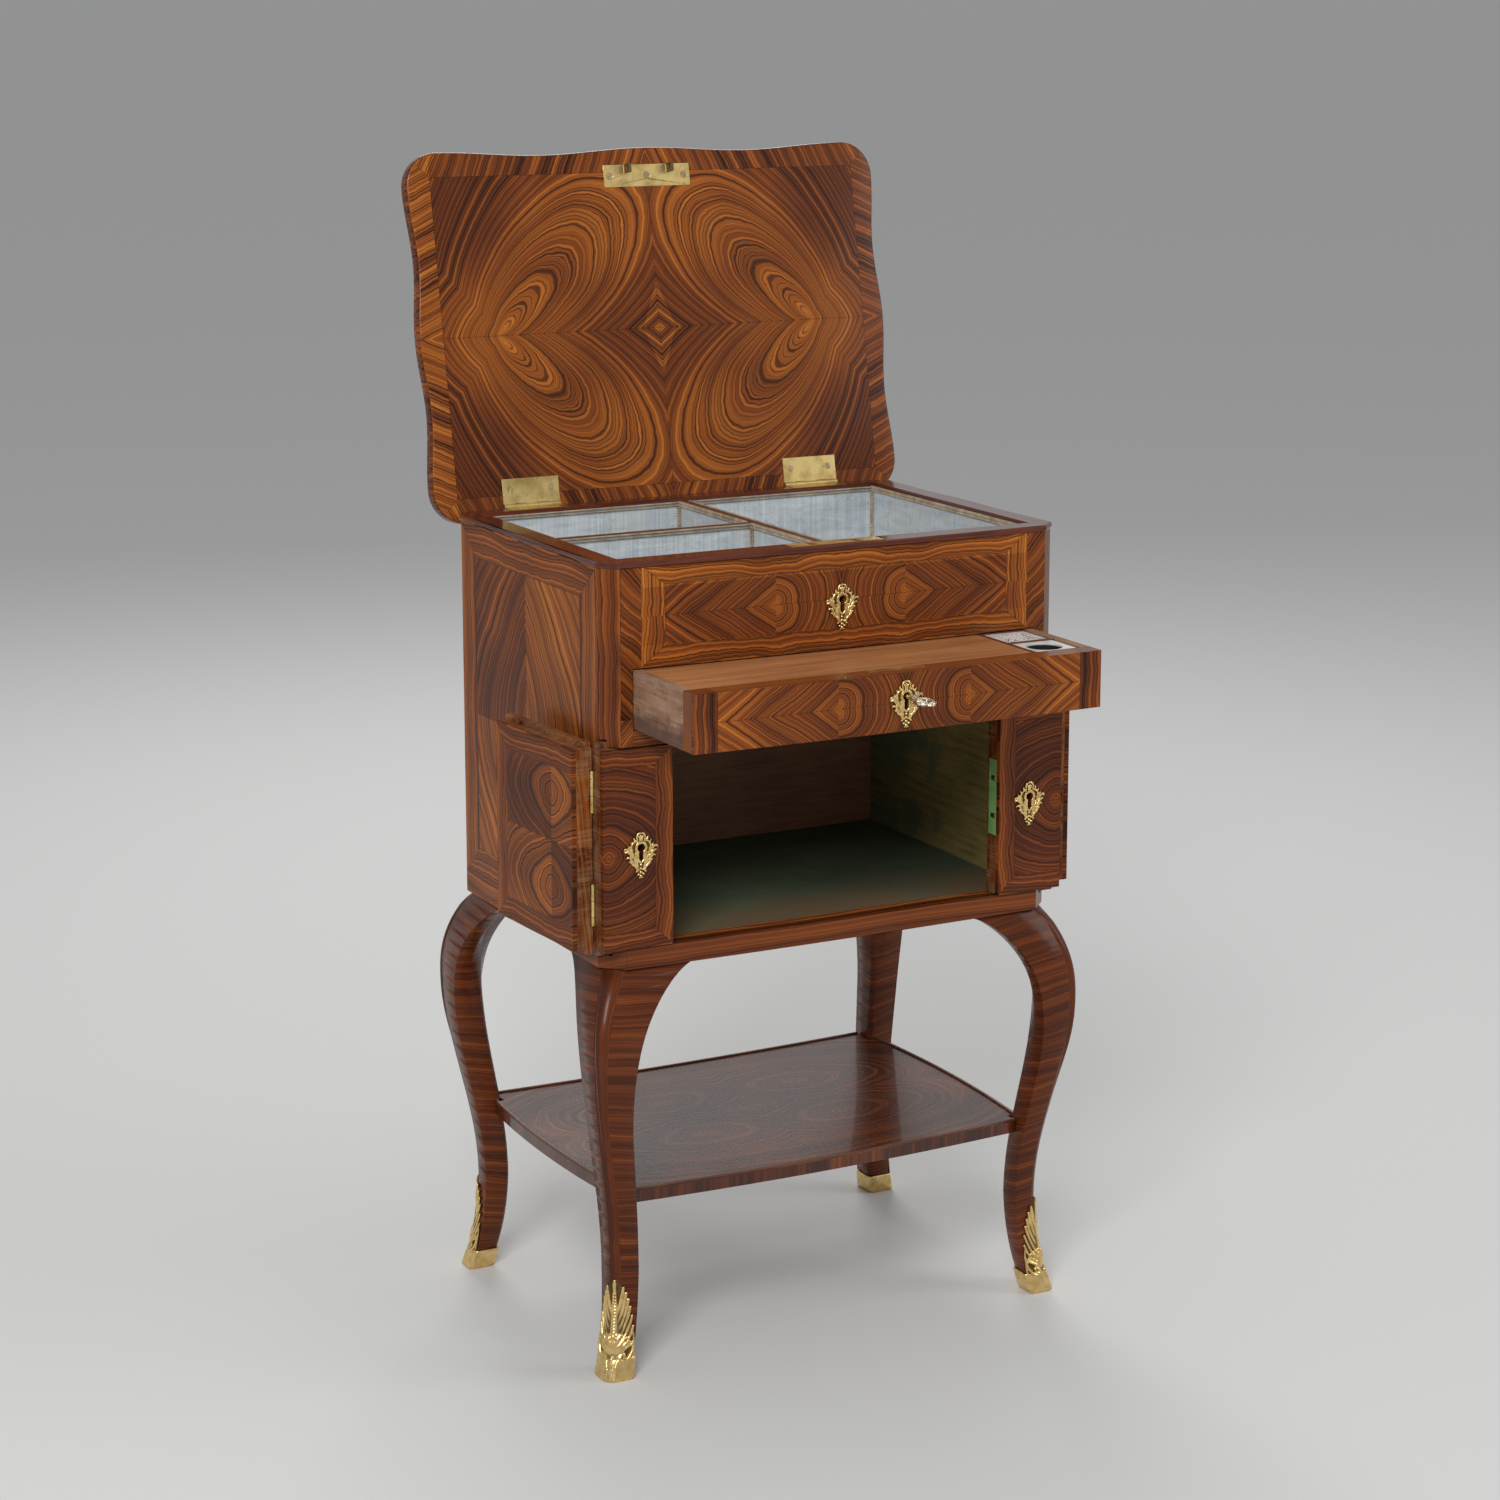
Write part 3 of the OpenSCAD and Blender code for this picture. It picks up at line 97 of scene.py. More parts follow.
class GeometryTree(Tree):
    """A node tree from one geometry to another, with further inputs by name."""

    def __init__(self, name, **inputs):
        super().__init__(bpy.data.node_groups.new(name, "GeometryNodeTree"))
        for side in ("INPUT", "OUTPUT"):
            self.tree.interface.new_socket("Geometry", in_out=side,
                socket_type="NodeSocketGeometry")
        for key, kind in inputs.items():
            self.tree.interface.new_socket(key, in_out="INPUT", socket_type="NodeSocket" + kind)
        self.start = self.tree.nodes.new("NodeGroupInput").outputs
        self.end = self.tree.nodes.new("NodeGroupOutput").inputs[0]

    def shape(self, obj, **values):
        """Adds the tree to an object's modifiers, with values for its inputs."""
        change = obj.modifiers.new(self.tree.name, "NODES")
        change.node_group = self.tree
        for item in self.tree.interface.items_tree:
            if item.in_out == "INPUT" and item.name in values:
                change[item.identifier] = values[item.name]


class Finish(Tree):
    """A material of one Principled shader, whose inputs are set by name or by a link."""

    def __init__(self, name, **fixed):
        self.material = bpy.data.materials.new(name)
        self.material.use_nodes = True
        super().__init__(self.material.node_tree)
        self.tree.nodes.clear()
        self.shader = self.tree.nodes.new("ShaderNodeBsdfPrincipled")
        out = self.tree.nodes.new("ShaderNodeOutputMaterial")
        self.feed(out.inputs[0], self.shader.outputs[0])
        self.set(**fixed)

    def set(self, **values):
        """Shader inputs, with their spaces written as underscores."""
        for key, value in values.items():
            self.feed(self.shader.inputs[key.replace("_", " ")], value)

    def done(self, colour, rough, height, depth, strength, **more):
        """Colour, gloss and relief. Gives the finish itself."""
        self.set(Base_Color=colour, Roughness=rough, Normal=self.bump(height, depth, strength),
            **more)
        return self

    def recolour(self, share, colour):
        """Mixes a share of another colour into what the shader has now."""
        now = self.shader.inputs["Base Color"].links[0].from_socket
        self.set(Base_Color=self.mix(share, now, colour))

    def maths(self, operation, *values, clamp=False):
        return Amount(self, self.add("ShaderNodeMath", dict(enumerate(values)),
            operation=operation, use_clamp=clamp))

    def place(self, move=(0, 0, 0), turn=(0, 0, 0), mirrored=False):
        """x, y and z in millimetres on the piece, moved and turned as asked."""
        at = self.add("ShaderNodeTexCoord", {}, "Object")
        scaled = self.add("ShaderNodeMapping", {"Vector": at, "Location": move,
            "Rotation": turn, "Scale": (-1000 if mirrored else 1000, 1000, 1000)})
        first = self.add("ShaderNodeSeparateXYZ", {0: scaled})
        return [Amount(self, s) for s in first.node.outputs]

    def join(self, *at):
        return self.add("ShaderNodeCombineXYZ", dict(enumerate(at)))

    def noise(self, at, scale, detail=2, roughness=0.5, warp=0):
        """Noise from 0 to 1 on a place, given as such or as x, y, z, or along one number."""
        flat = isinstance(at, Amount)
        return Amount(self, self.add("ShaderNodeTexNoise",
            {"W" if flat else "Vector": self.join(*at) if isinstance(at, tuple) else at,
             "Scale": scale, "Detail": detail, "Roughness": roughness, "Distortion": warp},
            noise_dimensions="1D" if flat else "3D"))

    def mix(self, share, a, b, way="MIX"):
        """Colour between a and b."""
        return self.add("ShaderNodeMix", {"Factor_Float": share, "A_Color": a, "B_Color": b},
            "Result_Color", data_type="RGBA", blend_type=way)

    def ramp(self, share, *stops):
        """Colour from stops, each with its place and colour."""
        colour = self.add("ShaderNodeValToRGB", {0: share})
        elements = colour.node.color_ramp.elements
        while len(elements) < len(stops):
            elements.new(0.5)
        for element, (place, shade) in zip(elements, stops):
            element.position, element.color = place, (*shade, 1)
        return colour

    def bump(self, height, depth, strength, **under):
        """Normal of a surface raised by height times depth in metres."""
        return self.add("ShaderNodeBump", {"Height": height, "Distance": depth,
            "Strength": strength, **under})

    def attribute(self, name):
        return Amount(self, self.add("ShaderNodeAttribute", {}, "Fac", attribute_name=name))


# Shader maths

class Amount:
    """A number that changes over a surface. Sums on it add Math nodes to its finish."""

    def __init__(self, finish, socket):
        self.finish, self.socket = finish, socket

    def __neg__(self):
        return self * -1

    def clamp(self):
        return self.finish.maths("ADD", self, 0, clamp=True)


for name, sum_kind in {"add__": "ADD", "sub__": "SUBTRACT", "mul__": "MULTIPLY",
        "truediv__": "DIVIDE"}.items():
    setattr(Amount, "__" + name, lambda a, b, kind=sum_kind: a.finish.maths(kind, a, b))
    setattr(Amount, "__r" + name, lambda a, b, kind=sum_kind: a.finish.maths(kind, b, a))
for name, sum_kind in {"__abs__": "ABSOLUTE", "__gt__": "GREATER_THAN", "__lt__": "LESS_THAN",
        "least": "MINIMUM", "most": "MAXIMUM", "root": "SQRT", "sine": "SINE"}.items():
    setattr(Amount, name, lambda a, *b, kind=sum_kind: a.finish.maths(kind, a, *b))


def step(amount, edge=0, width=0.3):
    """0 below the edge, 1 above it, with a short ramp."""
    return ((amount - edge) / width + 0.5).clamp()


def pick(share, a, b):
    """a where share is 0, b where it is 1."""
    return a + (b - a) * share


def hypot(a, b):
    return (a * a + b * b).root()


# Woods

orange, russet, umber, ink_line = ((0.4, 0.112, 0.015), (0.19, 0.046, 0.01),
    (0.072, 0.018, 0.006), (0.018, 0.007, 0.004))


def polish(coat, bend):
    """What French polish over the wood gives the shader."""
    return {"Coat_Weight": coat, "Coat_Roughness": 0.06, "Coat_IOR": bend, "IOR": bend}


def veneer(f, across, spot, tone=0, joint=None, sway=8, wear=None, dark=1, lines=1,
        coat=0.2, bend=1.25):
    """Colour, gloss and relief of figured veneer. Across counts the growth lines in
    millimetres, spot is the place for irregularities, and joint the distance to a joint."""
    spot = f.join(*spot)
    wander = f.noise(spot, 0.016, 1) - 0.5
    ripple = f.noise(spot, 0.11, 2, 0.55) - 0.5
    g = across + wander * sway * 2.2 + ripple * 3
    band = f.noise(g, 0.065, 2, 0.55)
    line = f.noise(g, 0.29, 1)
    fine = f.noise(g + 41.3, 0.83, 1)
    fibre = f.noise(g, 4.2, 1)
    cloud = f.noise(spot, 0.008)
    share = band * 0.8 + line * 0.3 + fibre * 0.16 + cloud * 0.55 + (tone - 0.44)
    colour = f.ramp(share, (0.22, umber), (0.42, russet), (0.68, orange),
        (0.9, (0.56, 0.19, 0.027)))
    thin = (1 - step(abs(fine - 0.5), 0.05, 0.09)) * 0.45 * lines
    bold = (1 - step(abs(line - 0.5), 0.034, 0.05)) * (1.15 - band * 0.7).clamp() * lines
    colour = f.mix(bold, f.mix(thin, colour, (0.085, 0.018, 0.006)), ink_line)
    if dark != 1:
        colour = f.mix(1, colour, (dark, dark * 0.94, dark * 0.95), "MULTIPLY")
    rough = 0.22 + line * 0.1
    height = fibre * 0.25 + line * 0.5
    if joint is not None:
        seam = 1 - step(joint, 0.2, 0.35)
        colour = f.mix(seam * 0.8, colour, (0.014, 0.006, 0.004))
        height = height - seam * 1.2
    if wear is not None:
        scuff = wear * step(f.noise(spot, 0.35, 3, 0.6), 0.45, 0.25)
        colour = f.mix(scuff * 0.7, colour, (0.3, 0.17, 0.09))
        rough = rough + scuff * 0.3
    skin = f.bump(f.noise(spot, 0.04, 1), 0.0005, 0.2)
    f.set(Base_Color=colour, Roughness=rough, **polish(coat, bend),
        Normal=f.bump(height, 0.00003, 0.5, Normal=skin))
    return f


def on_body(name, mirrored=False, out=0, **fixed):
    """A finish, and x, y and z on it in millimetres in the body's coordinates."""
    f = Finish(name, **fixed)
    return f, *f.place((0, mid_y + out, 0), mirrored=mirrored)


def hearts(u, v):
    """Growth lines of matched leaves: hearts lying on their sides, pointing outwards."""
    du = u - 70
    round_end = hypot(du * 0.9, (v - 4) * 1.05)
    pointed = du * 0.72 + v * 1.05
    return pick(du > 0, round_end, pointed) * 1.35


def framed(u, v, wide_u, wide_v, centre):
    """From the distances to a panel's edges and to the joints in its middle: the share
    inside the frame, the frame's growth lines and the distance to the nearest joint."""
    a, b, narrow = u / wide_u, v / wide_v, min(wide_u, wide_v)
    nearer = a.least(b)
    inside = nearer > 1
    mitre = abs(a - b) * narrow * 0.7 + inside * far
    joint = mitre.least(abs(nearer - 1) * narrow)
    return inside, pick(a < b, v + 300, u), joint.least(pick(inside, far, centre))


def well_panel():
    f, x, _, z = on_body("well_panel_veneer")
    u, v, upper = abs(x), abs(z - well_mid_z), z > well_mid_z
    inside, grain, joint = framed(208 - u, pick(upper, z - 688, divider_z - z), 24, 19,
        v.least(u))
    spot = u, v, inside * 90 + upper * 40
    tone = inside * 0.03 + (z > 762) * 0.16 + (z < 708) * 0.1
    return veneer(f, pick(inside, grain, hearts(u, v)), spot, tone, joint)


def drawer_panel():
    f, x, y, z = on_body("drawer_front_veneer", out=drawer_out)
    u, v = abs(x), abs(z - drawer_mid_z)
    from_end = u - 192
    end = from_end > 0
    across = pick(end, hearts(u, v), u * 1.3)
    joint = abs(from_end).least(pick(end, v.least(u), far))
    spot = u + end * 70, pick(end, v, z), end * 90
    top = (z > 685.7) + step(y, 3, 1)
    plain = top.clamp()
    return veneer(f, pick(plain, across, y * 2 + x * 0.04 + 40), spot,
        pick(end, 0.05, -0.06) + plain * 0.1, joint + top * 9)


def post_veneer(name, mirrored):
    f, x, y, z = on_body(name, mirrored)
    from_strip, from_low = x + 229, z - 640
    strip = (from_strip > 0) * (y < 12)
    across = pick(strip, x - y * 0.6, x * 0.75 + z * 0.66)
    across = pick((from_low < 0) * strip, across, z * 0.7 - x * 0.7)
    joint = abs(from_strip).least(abs(from_low) + (1 - strip) * far)
    return veneer(f, across, (x, y, z), 0.02 - strip * 0.02, joint)


def side_veneer(name, mirrored):
    f, x, y, z = on_body(name, mirrored)
    u, w = abs(y - side_mid_y), abs(z - side_mid_z)
    inside, grain, joint = framed((y - 20).least(328 - y), (779 - z).least(z - 424),
        34, 30, u.least(w))
    other = (y - side_mid_y) * (z - side_mid_z) > 0
    across = pick(inside, grain, (u + w * 0.2 + w * w * 0.0024) * 0.9)
    spot = u * 0.8, w * 0.8, inside * 80 + other * 5
    shade = inside * (other * -0.24 + 0.1)
    # the side of the panel that faces the cupboard is plain worn wood
    inner = step(x, -224, 0.4)
    veneer(f, across, spot, shade + 0.06, joint + inner * 9)
    stain = f.noise((y, z, 4), 0.014, 4, 0.6)
    board = f.noise((y * 0.12, z * 1.6, 0), 0.12, 4, 0.6)
    worn = f.ramp(board * 0.6 + stain * 0.5, (0.3, (0.1, 0.075, 0.026)),
        (0.5, (0.26, 0.205, 0.072)), (0.75, (0.42, 0.33, 0.125)))
    green = step(stain + (y - side_mid_y) * 0.0018, 0.62, 0.12) * 0.6
    worn = f.mix(green, worn, (0.055, 0.12, 0.09))
    # painted shade: the left panel's face inside the cupboard is darkened, as the cupboard wall
    # that the lamps do not reach
    if not mirrored:
        worn = f.mix(0.55, worn, (0.1, 0.05, 0.025))
    f.recolour(inner, worn)
    f.set(Roughness=0.25 + inner * 0.5, Coat_Weight=0.1 - inner * 0.1, Coat_IOR=1.2, IOR=1.2)
    return f


def rail_veneer(name, tone=0):
    f, x, y, z = on_body(name)
    across = z * 1.1 + y * 0.45
    joint = abs(abs(x) - (half_w - 20))
    return veneer(f, across, (x * 0.22, y * 0.6, z), tone, joint, sway=5)


def lid_place(f):
    """x, way from the hinge line, and height over the lid's underside, in millimetres."""
    turn = Matrix.Rotation(lid_turn, 3, "X")
    move = turn @ Vector((0, -(hinge_y - mid_y), -hinge_z))
    x, y, z = f.place(tuple(move), (lid_turn, 0, 0))
    return x, -y, z - 0.5


def lid_veneer():
    f = Finish("lid_veneer")
    x, s, t = lid_place(f)
    u, v = abs(x), abs(s - lid_mid)
    side, end, border = 262 - u, 182 - v, 22
    inside, _, joint = framed(side, end, border, border, u.least(v))
    upright = side < end
    crossband = pick(upright, u * 0.92 + v * 0.4, v * 0.92 + u * 0.4)
    # ovals about an eye near the level joint, leaning up towards the middle
    eye_u, eye_v = u - 178, v - 3
    a, b = eye_u * -0.74 + eye_v * 0.67, eye_u * 0.67 + eye_v * 0.74
    ahead = a.most(0)
    oval = hypot(a, b * 1.5) - ahead * (1 - ahead / 1200) * 0.88
    edge = step(t, 0.9, 0.3) * (1 - step(t, 15.2, 0.3))
    across = pick(edge, pick(inside, crossband * 1.3, oval * 2), pick(upright, u, v) * 0.5)
    spot = (u, v, inside * 60 + step(t, 8, 1) * 130 + (x > 0) * 4
        + (s > lid_mid) * 2.5)
    kite = (u * 1.3 + v * 0.5 < 24) * 0.2
    warm = (1 - step(oval, 56, 30)) * 0.2 - step(oval, 118, 50) * 0.07 + kite
    # painted light: the crossband on the lid's left side is coloured lighter, where the key lamp
    # falls
    left = (x < 0) * (side < border) * 0.16
    tone = pick(inside, left, warm - 0.08) - edge * 0.22
    return veneer(f, across, spot, tone, joint + edge * 20, sway=5)


def leaf_place(f, mirrored):
    """Place on a folding leaf as if it were shut: x from the pin, y in, z up."""
    turn = Matrix.Rotation(fold_turn, 3, "Z")
    move = turn @ Vector((-(fold_x - slide_out), -(shutter_t - mid_y), 0))
    return f.place(tuple(move), (0, 0, fold_turn), mirrored)


def leaf_veneer(name, mirrored):
    f = Finish(name)
    x, y, z = leaf_place(f, mirrored)
    u, v = x - leaf_mid_x, z - leaf_mid_z
    # the four quarters of the figure meet in the middle of the frame
    cross_u, cross_v = u - 36, v - 2
    pu, pv = abs(cross_u), abs(cross_v)
    inside, grain, joint = framed(u + 76, 95.2 - abs(v), 22, 22, pu.least(pv))
    rings = hypot(pu * 0.62 + pv * 0.12, (pv - 46) * 0.95 - pu * 0.14)
    back = step(y, -16.4, 0.8)
    other = cross_u * cross_v > 0
    tone = pick(inside, 0, other * 0.2 - 0.08)
    spot = pu, pv, inside * 50 + other * 6
    worn = back * step(f.noise((x, y, z), 0.06, 3, 0.6), 0.5, 0.3)
    return veneer(f, pick(back, pick(inside, grain, rings), y * 3 + z * 0.3), spot, tone,
        joint + back * 9, wear=worn, coat=0.1, bend=1.2)


def stile_veneer(name, mirrored):
    f = Finish(name)
    x, y, z = f.place((slide_out, mid_y, 0), mirrored=mirrored)
    u, v = x - stile_mid_x, z - stile_mid_z
    pv = abs(v)
    inside, grain, joint = framed(-0.5 - x, (613.2 - z).least(z - 422.8), 18, 17, pv)
    rings = hypot(u - 6, pv * 0.85) * 0.85 + pv * 0.25
    back = step(y, 2.5, 0.8)
    spot = u, pv, inside * 50 + (v > 0) * 7
    worn = back * step(f.noise((x, y, z), 0.05, 3, 0.6), 0.5, 0.3)
    tone = pick(inside, -0.02, -0.1) - back * 0.05
    return veneer(f, pick(back, pick(inside, grain, rings), y * 2.2), spot, tone,
        joint + back * 9, wear=worn, dark=0.9)


def shelf_veneer():
    f, x, y, z = on_body("shelf_veneer")
    u, v = abs(x), abs(y - side_mid_y)
    rings = hypot((u - 96) * 0.5 + v * 0.2, v - 52)
    top = step(z, 179.3, 0.4)
    return veneer(f, pick(top, (x + y) * 0.48, rings), (u, v, top * 40), -0.12,
        u.least(v) + (1 - top) * 20, dark=0.62, lines=0.6, coat=0.5, bend=1.4)


def leg_veneer():
    """Cross-grained faces and a dark strip of long grain on the outer edge. The leg's own
    mesh says how far along the grain each point lies, and which faces are the strip."""
    f, x, y, z = on_body("leg_veneer")
    across, strip = f.attribute("grain"), f.attribute("strip")
    veneer(f, across * 1.7, (x, y, z * 1.5), pick(strip, -0.12, -0.2), None,
        sway=6, dark=0.88, lines=0.55)
    f.recolour(0.36, (0.085, 0.022, 0.009))
    return f


def solid_wood(name, light, dark, rough=0.3, coat=0.4, scale=1, out=0):
    """Plain wood with long straight grain along x."""
    f, x, y, z = on_body(name, out=out)
    grain = f.noise((x * 0.05, y, z), 0.16 * scale, 5, 0.62, 0.4)
    pore = f.noise((x * 0.12, y * 2, z * 2), 0.9 * scale, 2, 0.6)
    cloud = f.noise((x, y, z), 0.012)
    share = grain * 0.9 + cloud * 0.3 + pore * 0.2 - 0.2
    colour = f.ramp(share, (0.28, dark), (0.72, light))
    return f.done(f.mix(step(pore, 0.66, 0.1) * 0.6, colour, dark), rough + grain * 0.2,
        grain + pore, 0.00005, 0.5, Coat_Weight=coat, Coat_Roughness=0.15)


def rim_wood():
    """Dark polished moulding, its grain along each strip."""
    f, x, y, z = on_body("rim_wood")
    turned = abs(x) > 223
    spot = pick(turned, x * 0.05, x), pick(turned, y, y * 0.05), z
    grain = f.noise(spot, 0.22, 4, 0.6, 0.4)
    cloud = f.noise((x, y, z), 0.014)
    colour = f.ramp(grain * 0.8 + cloud * 0.3, (0.38, (0.045, 0.011, 0.007)),
        (0.7, (0.15, 0.036, 0.016)))
    return f.done(colour, 0.2, grain, 0.00003, 0.4, **polish(0.4, 1.35))


def drawer_side_wood():
    """Rough side of the drawer, rubbed pale above and dirty below."""
    f, x, y, z = on_body("rubbed_drawer_wood", out=drawer_out)
    grain = f.noise((x, y * 0.1, z * 1.3), 0.2, 5, 0.65, 0.5)
    dirt = f.noise((x, y, z), 0.07, 4, 0.65)
    low = 1 - step(z + (dirt - 0.5) * 26, 648, 16)
    colour = f.ramp(grain * 0.7 + dirt * 0.4, (0.34, (0.13, 0.06, 0.033)),
        (0.55, (0.27, 0.145, 0.085)), (0.78, (0.42, 0.26, 0.17)))
    return f.done(f.mix(low * 0.75, colour, (0.07, 0.028, 0.02)), 0.6 + dirt * 0.2,
        grain, 0.0002, 0.6)


# Metals, cloth

def gilt_finish(name, low, high):
    """Chased and gilded bronze, with painted shade in its hollows."""
    f = Finish(name, Metallic=1)
    spot = tuple(f.place())
    relief = f.attribute("relief").clamp()
    cloud, grainy = f.noise(spot, 0.16, 3, 0.6), f.noise(spot, 1.6, 2, 0.6)
    # painted shade: low places of the relief are coloured dark brown
    deep = 1 - step(relief + (cloud - 0.5) * 0.2, 0.36, 0.5)
    colour = f.ramp(cloud, (0.3, low), (0.7, high))
    return f.done(f.mix(deep * 0.92, colour, (0.085, 0.045, 0.015)),
        0.2 + deep * 0.3 + grainy * 0.14, grainy, 0.00008, 0.35)


def brass_finish(name="worn_brass", light=(0.84, 0.63, 0.26), dull=(0.56, 0.39, 0.13), metal=1,
        hooked=False):
    """Old brass: rubbed bright, with dull spots and fine scratches."""
    f = Finish(name, Metallic=metal)
    x, y, z = f.place()
    spot = x, y, z
    cloud = f.noise(spot, 0.05, 3, 0.5)
    scratch = f.noise((x * 0.15 + z * 0.05, y * 2, z * 2), 0.9, 3, 0.7)
    spots = step(f.noise(spot, 0.33, 3, 0.7), 0.66, 0.1)
    colour = f.ramp(cloud, (0.32, dull), (0.56, light))
    if hooked:
        # painted shade on its two hooks and round them, at their places on the lid
        hook_x, hook_s = 24, 334.7
        across, along, over = lid_place(f)
        near = 1 - step(hypot(abs(across) - hook_x, (along - hook_s) * 0.7), 5.5, 5)
        spots = spots.most(near * 0.55).most(step(-over, 0.9, 0.8) * 1.2)
    return f.done(f.mix((spots * 0.75).clamp(), colour, (0.1, 0.07, 0.04)),
        0.24 + cloud * 0.16 + spots * 0.25, scratch, 0.00004, 0.5)


def silver_finish():
    """Tarnished silver, black with ink inside the inkwell's mouth."""
    f = Finish("tarnished_silver", Metallic=0.2)
    x, y, z = f.place()
    cloud = f.noise((x, y, z), 0.06, 3, 0.6)
    colour = f.ramp(cloud, (0.3, (0.7, 0.66, 0.6)), (0.5, (0.92, 0.91, 0.89)))
    inked = (step(mouth_r + 0.3 - hypot(x - ink_x, y - ink_y), 0, 0.2)
        * step(pot_top - 1.8 - z, 0, 1.2))
    return f.done(f.mix(inked, colour, (0.006, 0.006, 0.008)),
        0.18 + cloud * 0.16 + inked * 0.5, cloud, 0.0001, 0.2)


def silk_finish():
    """Watered silk: fine ribs, a moving watermark and old stains with dark rims."""
    f, x, y, z = on_body("watered_silk", Sheen_Weight=0.3, Sheen_Roughness=0.35)
    rib = (x * 6.9 + y * 6.9).sine() * 0.5 + 0.5
    weft = (z * 8.2).sine() * 0.5 + 0.5
    streak = f.noise((x, y, z * 0.02), 0.45, 3, 0.6)
    water = f.noise((x * 0.35, y * 0.35, z * 1.6), 0.05, 4, 0.6, 1.2)
    level = f.noise((x, y, z), 0.03, 3, 0.6)
    rim = 1 - step(abs(level - 0.52) * 60, 0.5, 0.9)
    colour = f.ramp(water * 0.5 + streak * 0.5, (0.32, (0.33, 0.375, 0.41)),
        (0.5, (0.49, 0.535, 0.565)), (0.68, (0.65, 0.68, 0.7)))
    colour = f.mix(step(level, 0.53, 0.1) * 0.25, colour, (0.52, 0.5, 0.44))
    colour = f.mix(rim * 0.3, colour, (0.24, 0.25, 0.24))
    return f.done(colour, 0.45 + water * 0.2, rib * 0.6 + weft * 0.3 + streak, 0.00006, 0.5)


def braid_finish():
    """Thread wound with metal, with painted highlights on the turns of its twist."""
    f = Finish("metal_thread_braid", Metallic=0.4)
    x, y, z = f.place()
    thread = ((x + y + z * 1.3) * 9).sine() * 0.5 + 0.5
    cloud = f.noise((x, y, z), 0.09, 3, 0.6)
    # painted highlight: the colour is brighter on the turns of the twist
    colour = f.ramp(thread * 0.4 + cloud * 0.6, (0.25, (0.17, 0.125, 0.08)),
        (0.5, (0.48, 0.38, 0.26)), (0.75, (0.78, 0.68, 0.52)))
    return f.done(colour, 0.4 + cloud * 0.15, thread, 0.0001, 0.6)


def baize_finish():
    """Napped green cloth, rubbed brown towards the cupboard's mouth."""
    f, x, y, z = on_body("green_baize", Sheen_Weight=0.06, Sheen_Roughness=0.4, IOR=1.2)
    spot = x, y, z
    nap, cloud = f.noise(spot, 1.3, 3, 0.7), f.noise(spot, 0.02, 4, 0.6)
    front = (1 - step(y + (cloud - 0.5) * 150, 85, 80)).clamp()
    colour = f.ramp(nap * 0.5 + cloud * 0.5, (0.3, (0.034, 0.058, 0.026)),
        (0.7, (0.095, 0.135, 0.066)))
    return f.done(f.mix(front * 0.85, colour, (0.15, 0.085, 0.038)), 0.9, nap, 0.0004, 0.7)


gilt = gilt_finish("gilt_bronze", (0.68, 0.44, 0.15), (0.92, 0.69, 0.32))
pale_gilt = gilt_finish("pale_gilding", (0.6, 0.5, 0.34), (0.93, 0.85, 0.68))
brass, silk, braid, baize = brass_finish(), silk_finish(), braid_finish(), baize_finish()
leg_finish = leg_veneer()

# each finish with the nodes that have it; the other nodes are brass
finishes = {name: finish for finish, names in (
    (well_panel(), "well_front"),
    (drawer_panel(), "drawer_front"),
    (lid_veneer(), "lid_board"),
    (rail_veneer("base_rail_veneer", -0.12), "base_rail"),
    (rail_veneer("drawer_rail_veneer", -0.05), "drawer_rail"),
    (shelf_veneer(), "shelf"),
    (rim_wood(), "top_rim"),
    (leg_finish, "leg_front_left leg_front_right leg_rear_left leg_rear_right"),
    (solid_wood("cupboard_board", (0.34, 0.165, 0.082), (0.15, 0.066, 0.035), 0.5, 0, 2.2),
        "back_panel cupboard_floor"),
    (solid_wood("carcass_wood", (0.33, 0.18, 0.09), (0.15, 0.07, 0.035), 0.5, 0),
        "dust_board drawer_runners well_floor corner_blocks drawer_bottom drawer_back"),
    (solid_wood("divider_wood", (0.17, 0.058, 0.028), (0.06, 0.019, 0.011), 0.3, 0.12),
        "well_divider_long well_divider_cross shelf_lip ink_partitions"),
    (solid_wood("writing_board_wood", (0.56, 0.25, 0.095), (0.3, 0.11, 0.036), 0.32, 0.2,
        0.7, drawer_out), "writing_board"),
    (drawer_side_wood(), "drawer_sides"),
    (gilt, "sabots well_escutcheon drawer_escutcheon left_shutter_escutcheon"
        " right_shutter_escutcheon drawer_key"),
    # painted light: the lock's brass is coloured green, as if it were lit green
    (brass_finish("green_lit_brass", (0.3, 0.62, 0.2), (0.22, 0.46, 0.15), 0.3),
        "right_shutter_lock"),
    (brass_finish("hooked_brass", hooked=True), "strike_plate"),
    (brass_finish("screw_brass", (0.62, 0.5, 0.28), (0.27, 0.2, 0.1)), "lid_screws"),
    (silver_finish(), "inkwell pounce_box"),
    (silk, "silk_linings"), (braid, "well_braid"), (baize, "baize")) for name in names.split()}
for hand, mirrored in (("left", False), ("right", True)):
    for kind, piece in ((post_veneer, "corner_post_" + hand), (side_veneer, "side_panel_" + hand),
            (leaf_veneer, hand + "_shutter_leaf"), (stile_veneer, hand + "_shutter_stile")):
        finishes[piece] = kind(piece + "_veneer", mirrored)
for name, node in nodes.items():
    for place in node.material_slots:
        place.material = finishes.get(name, brass).material


# Edges

def edge_easing():
    """Node tree that joins a CAD mesh's loose triangles and rounds only its gentle bends."""
    t = GeometryTree("eased_edges", Weld="Float", Angle="Float")
    weld = t.add("GeometryNodeMergeByDistance", {0: t.start[0], "Distance": t.start["Weld"]})
    smooth = t.add("GeometryNodeSetShadeSmooth", {0: weld}, domain="FACE")
    bent = t.add("FunctionNodeCompare", {0: t.add("GeometryNodeInputMeshEdgeAngle", {}),
        1: t.start["Angle"]}, operation="GREATER_THAN")
    t.feed(t.end, t.add("GeometryNodeSetShadeSmooth",
        {0: smooth, "Selection": bent, "Shade Smooth": False}, domain="EDGE"))
    return t


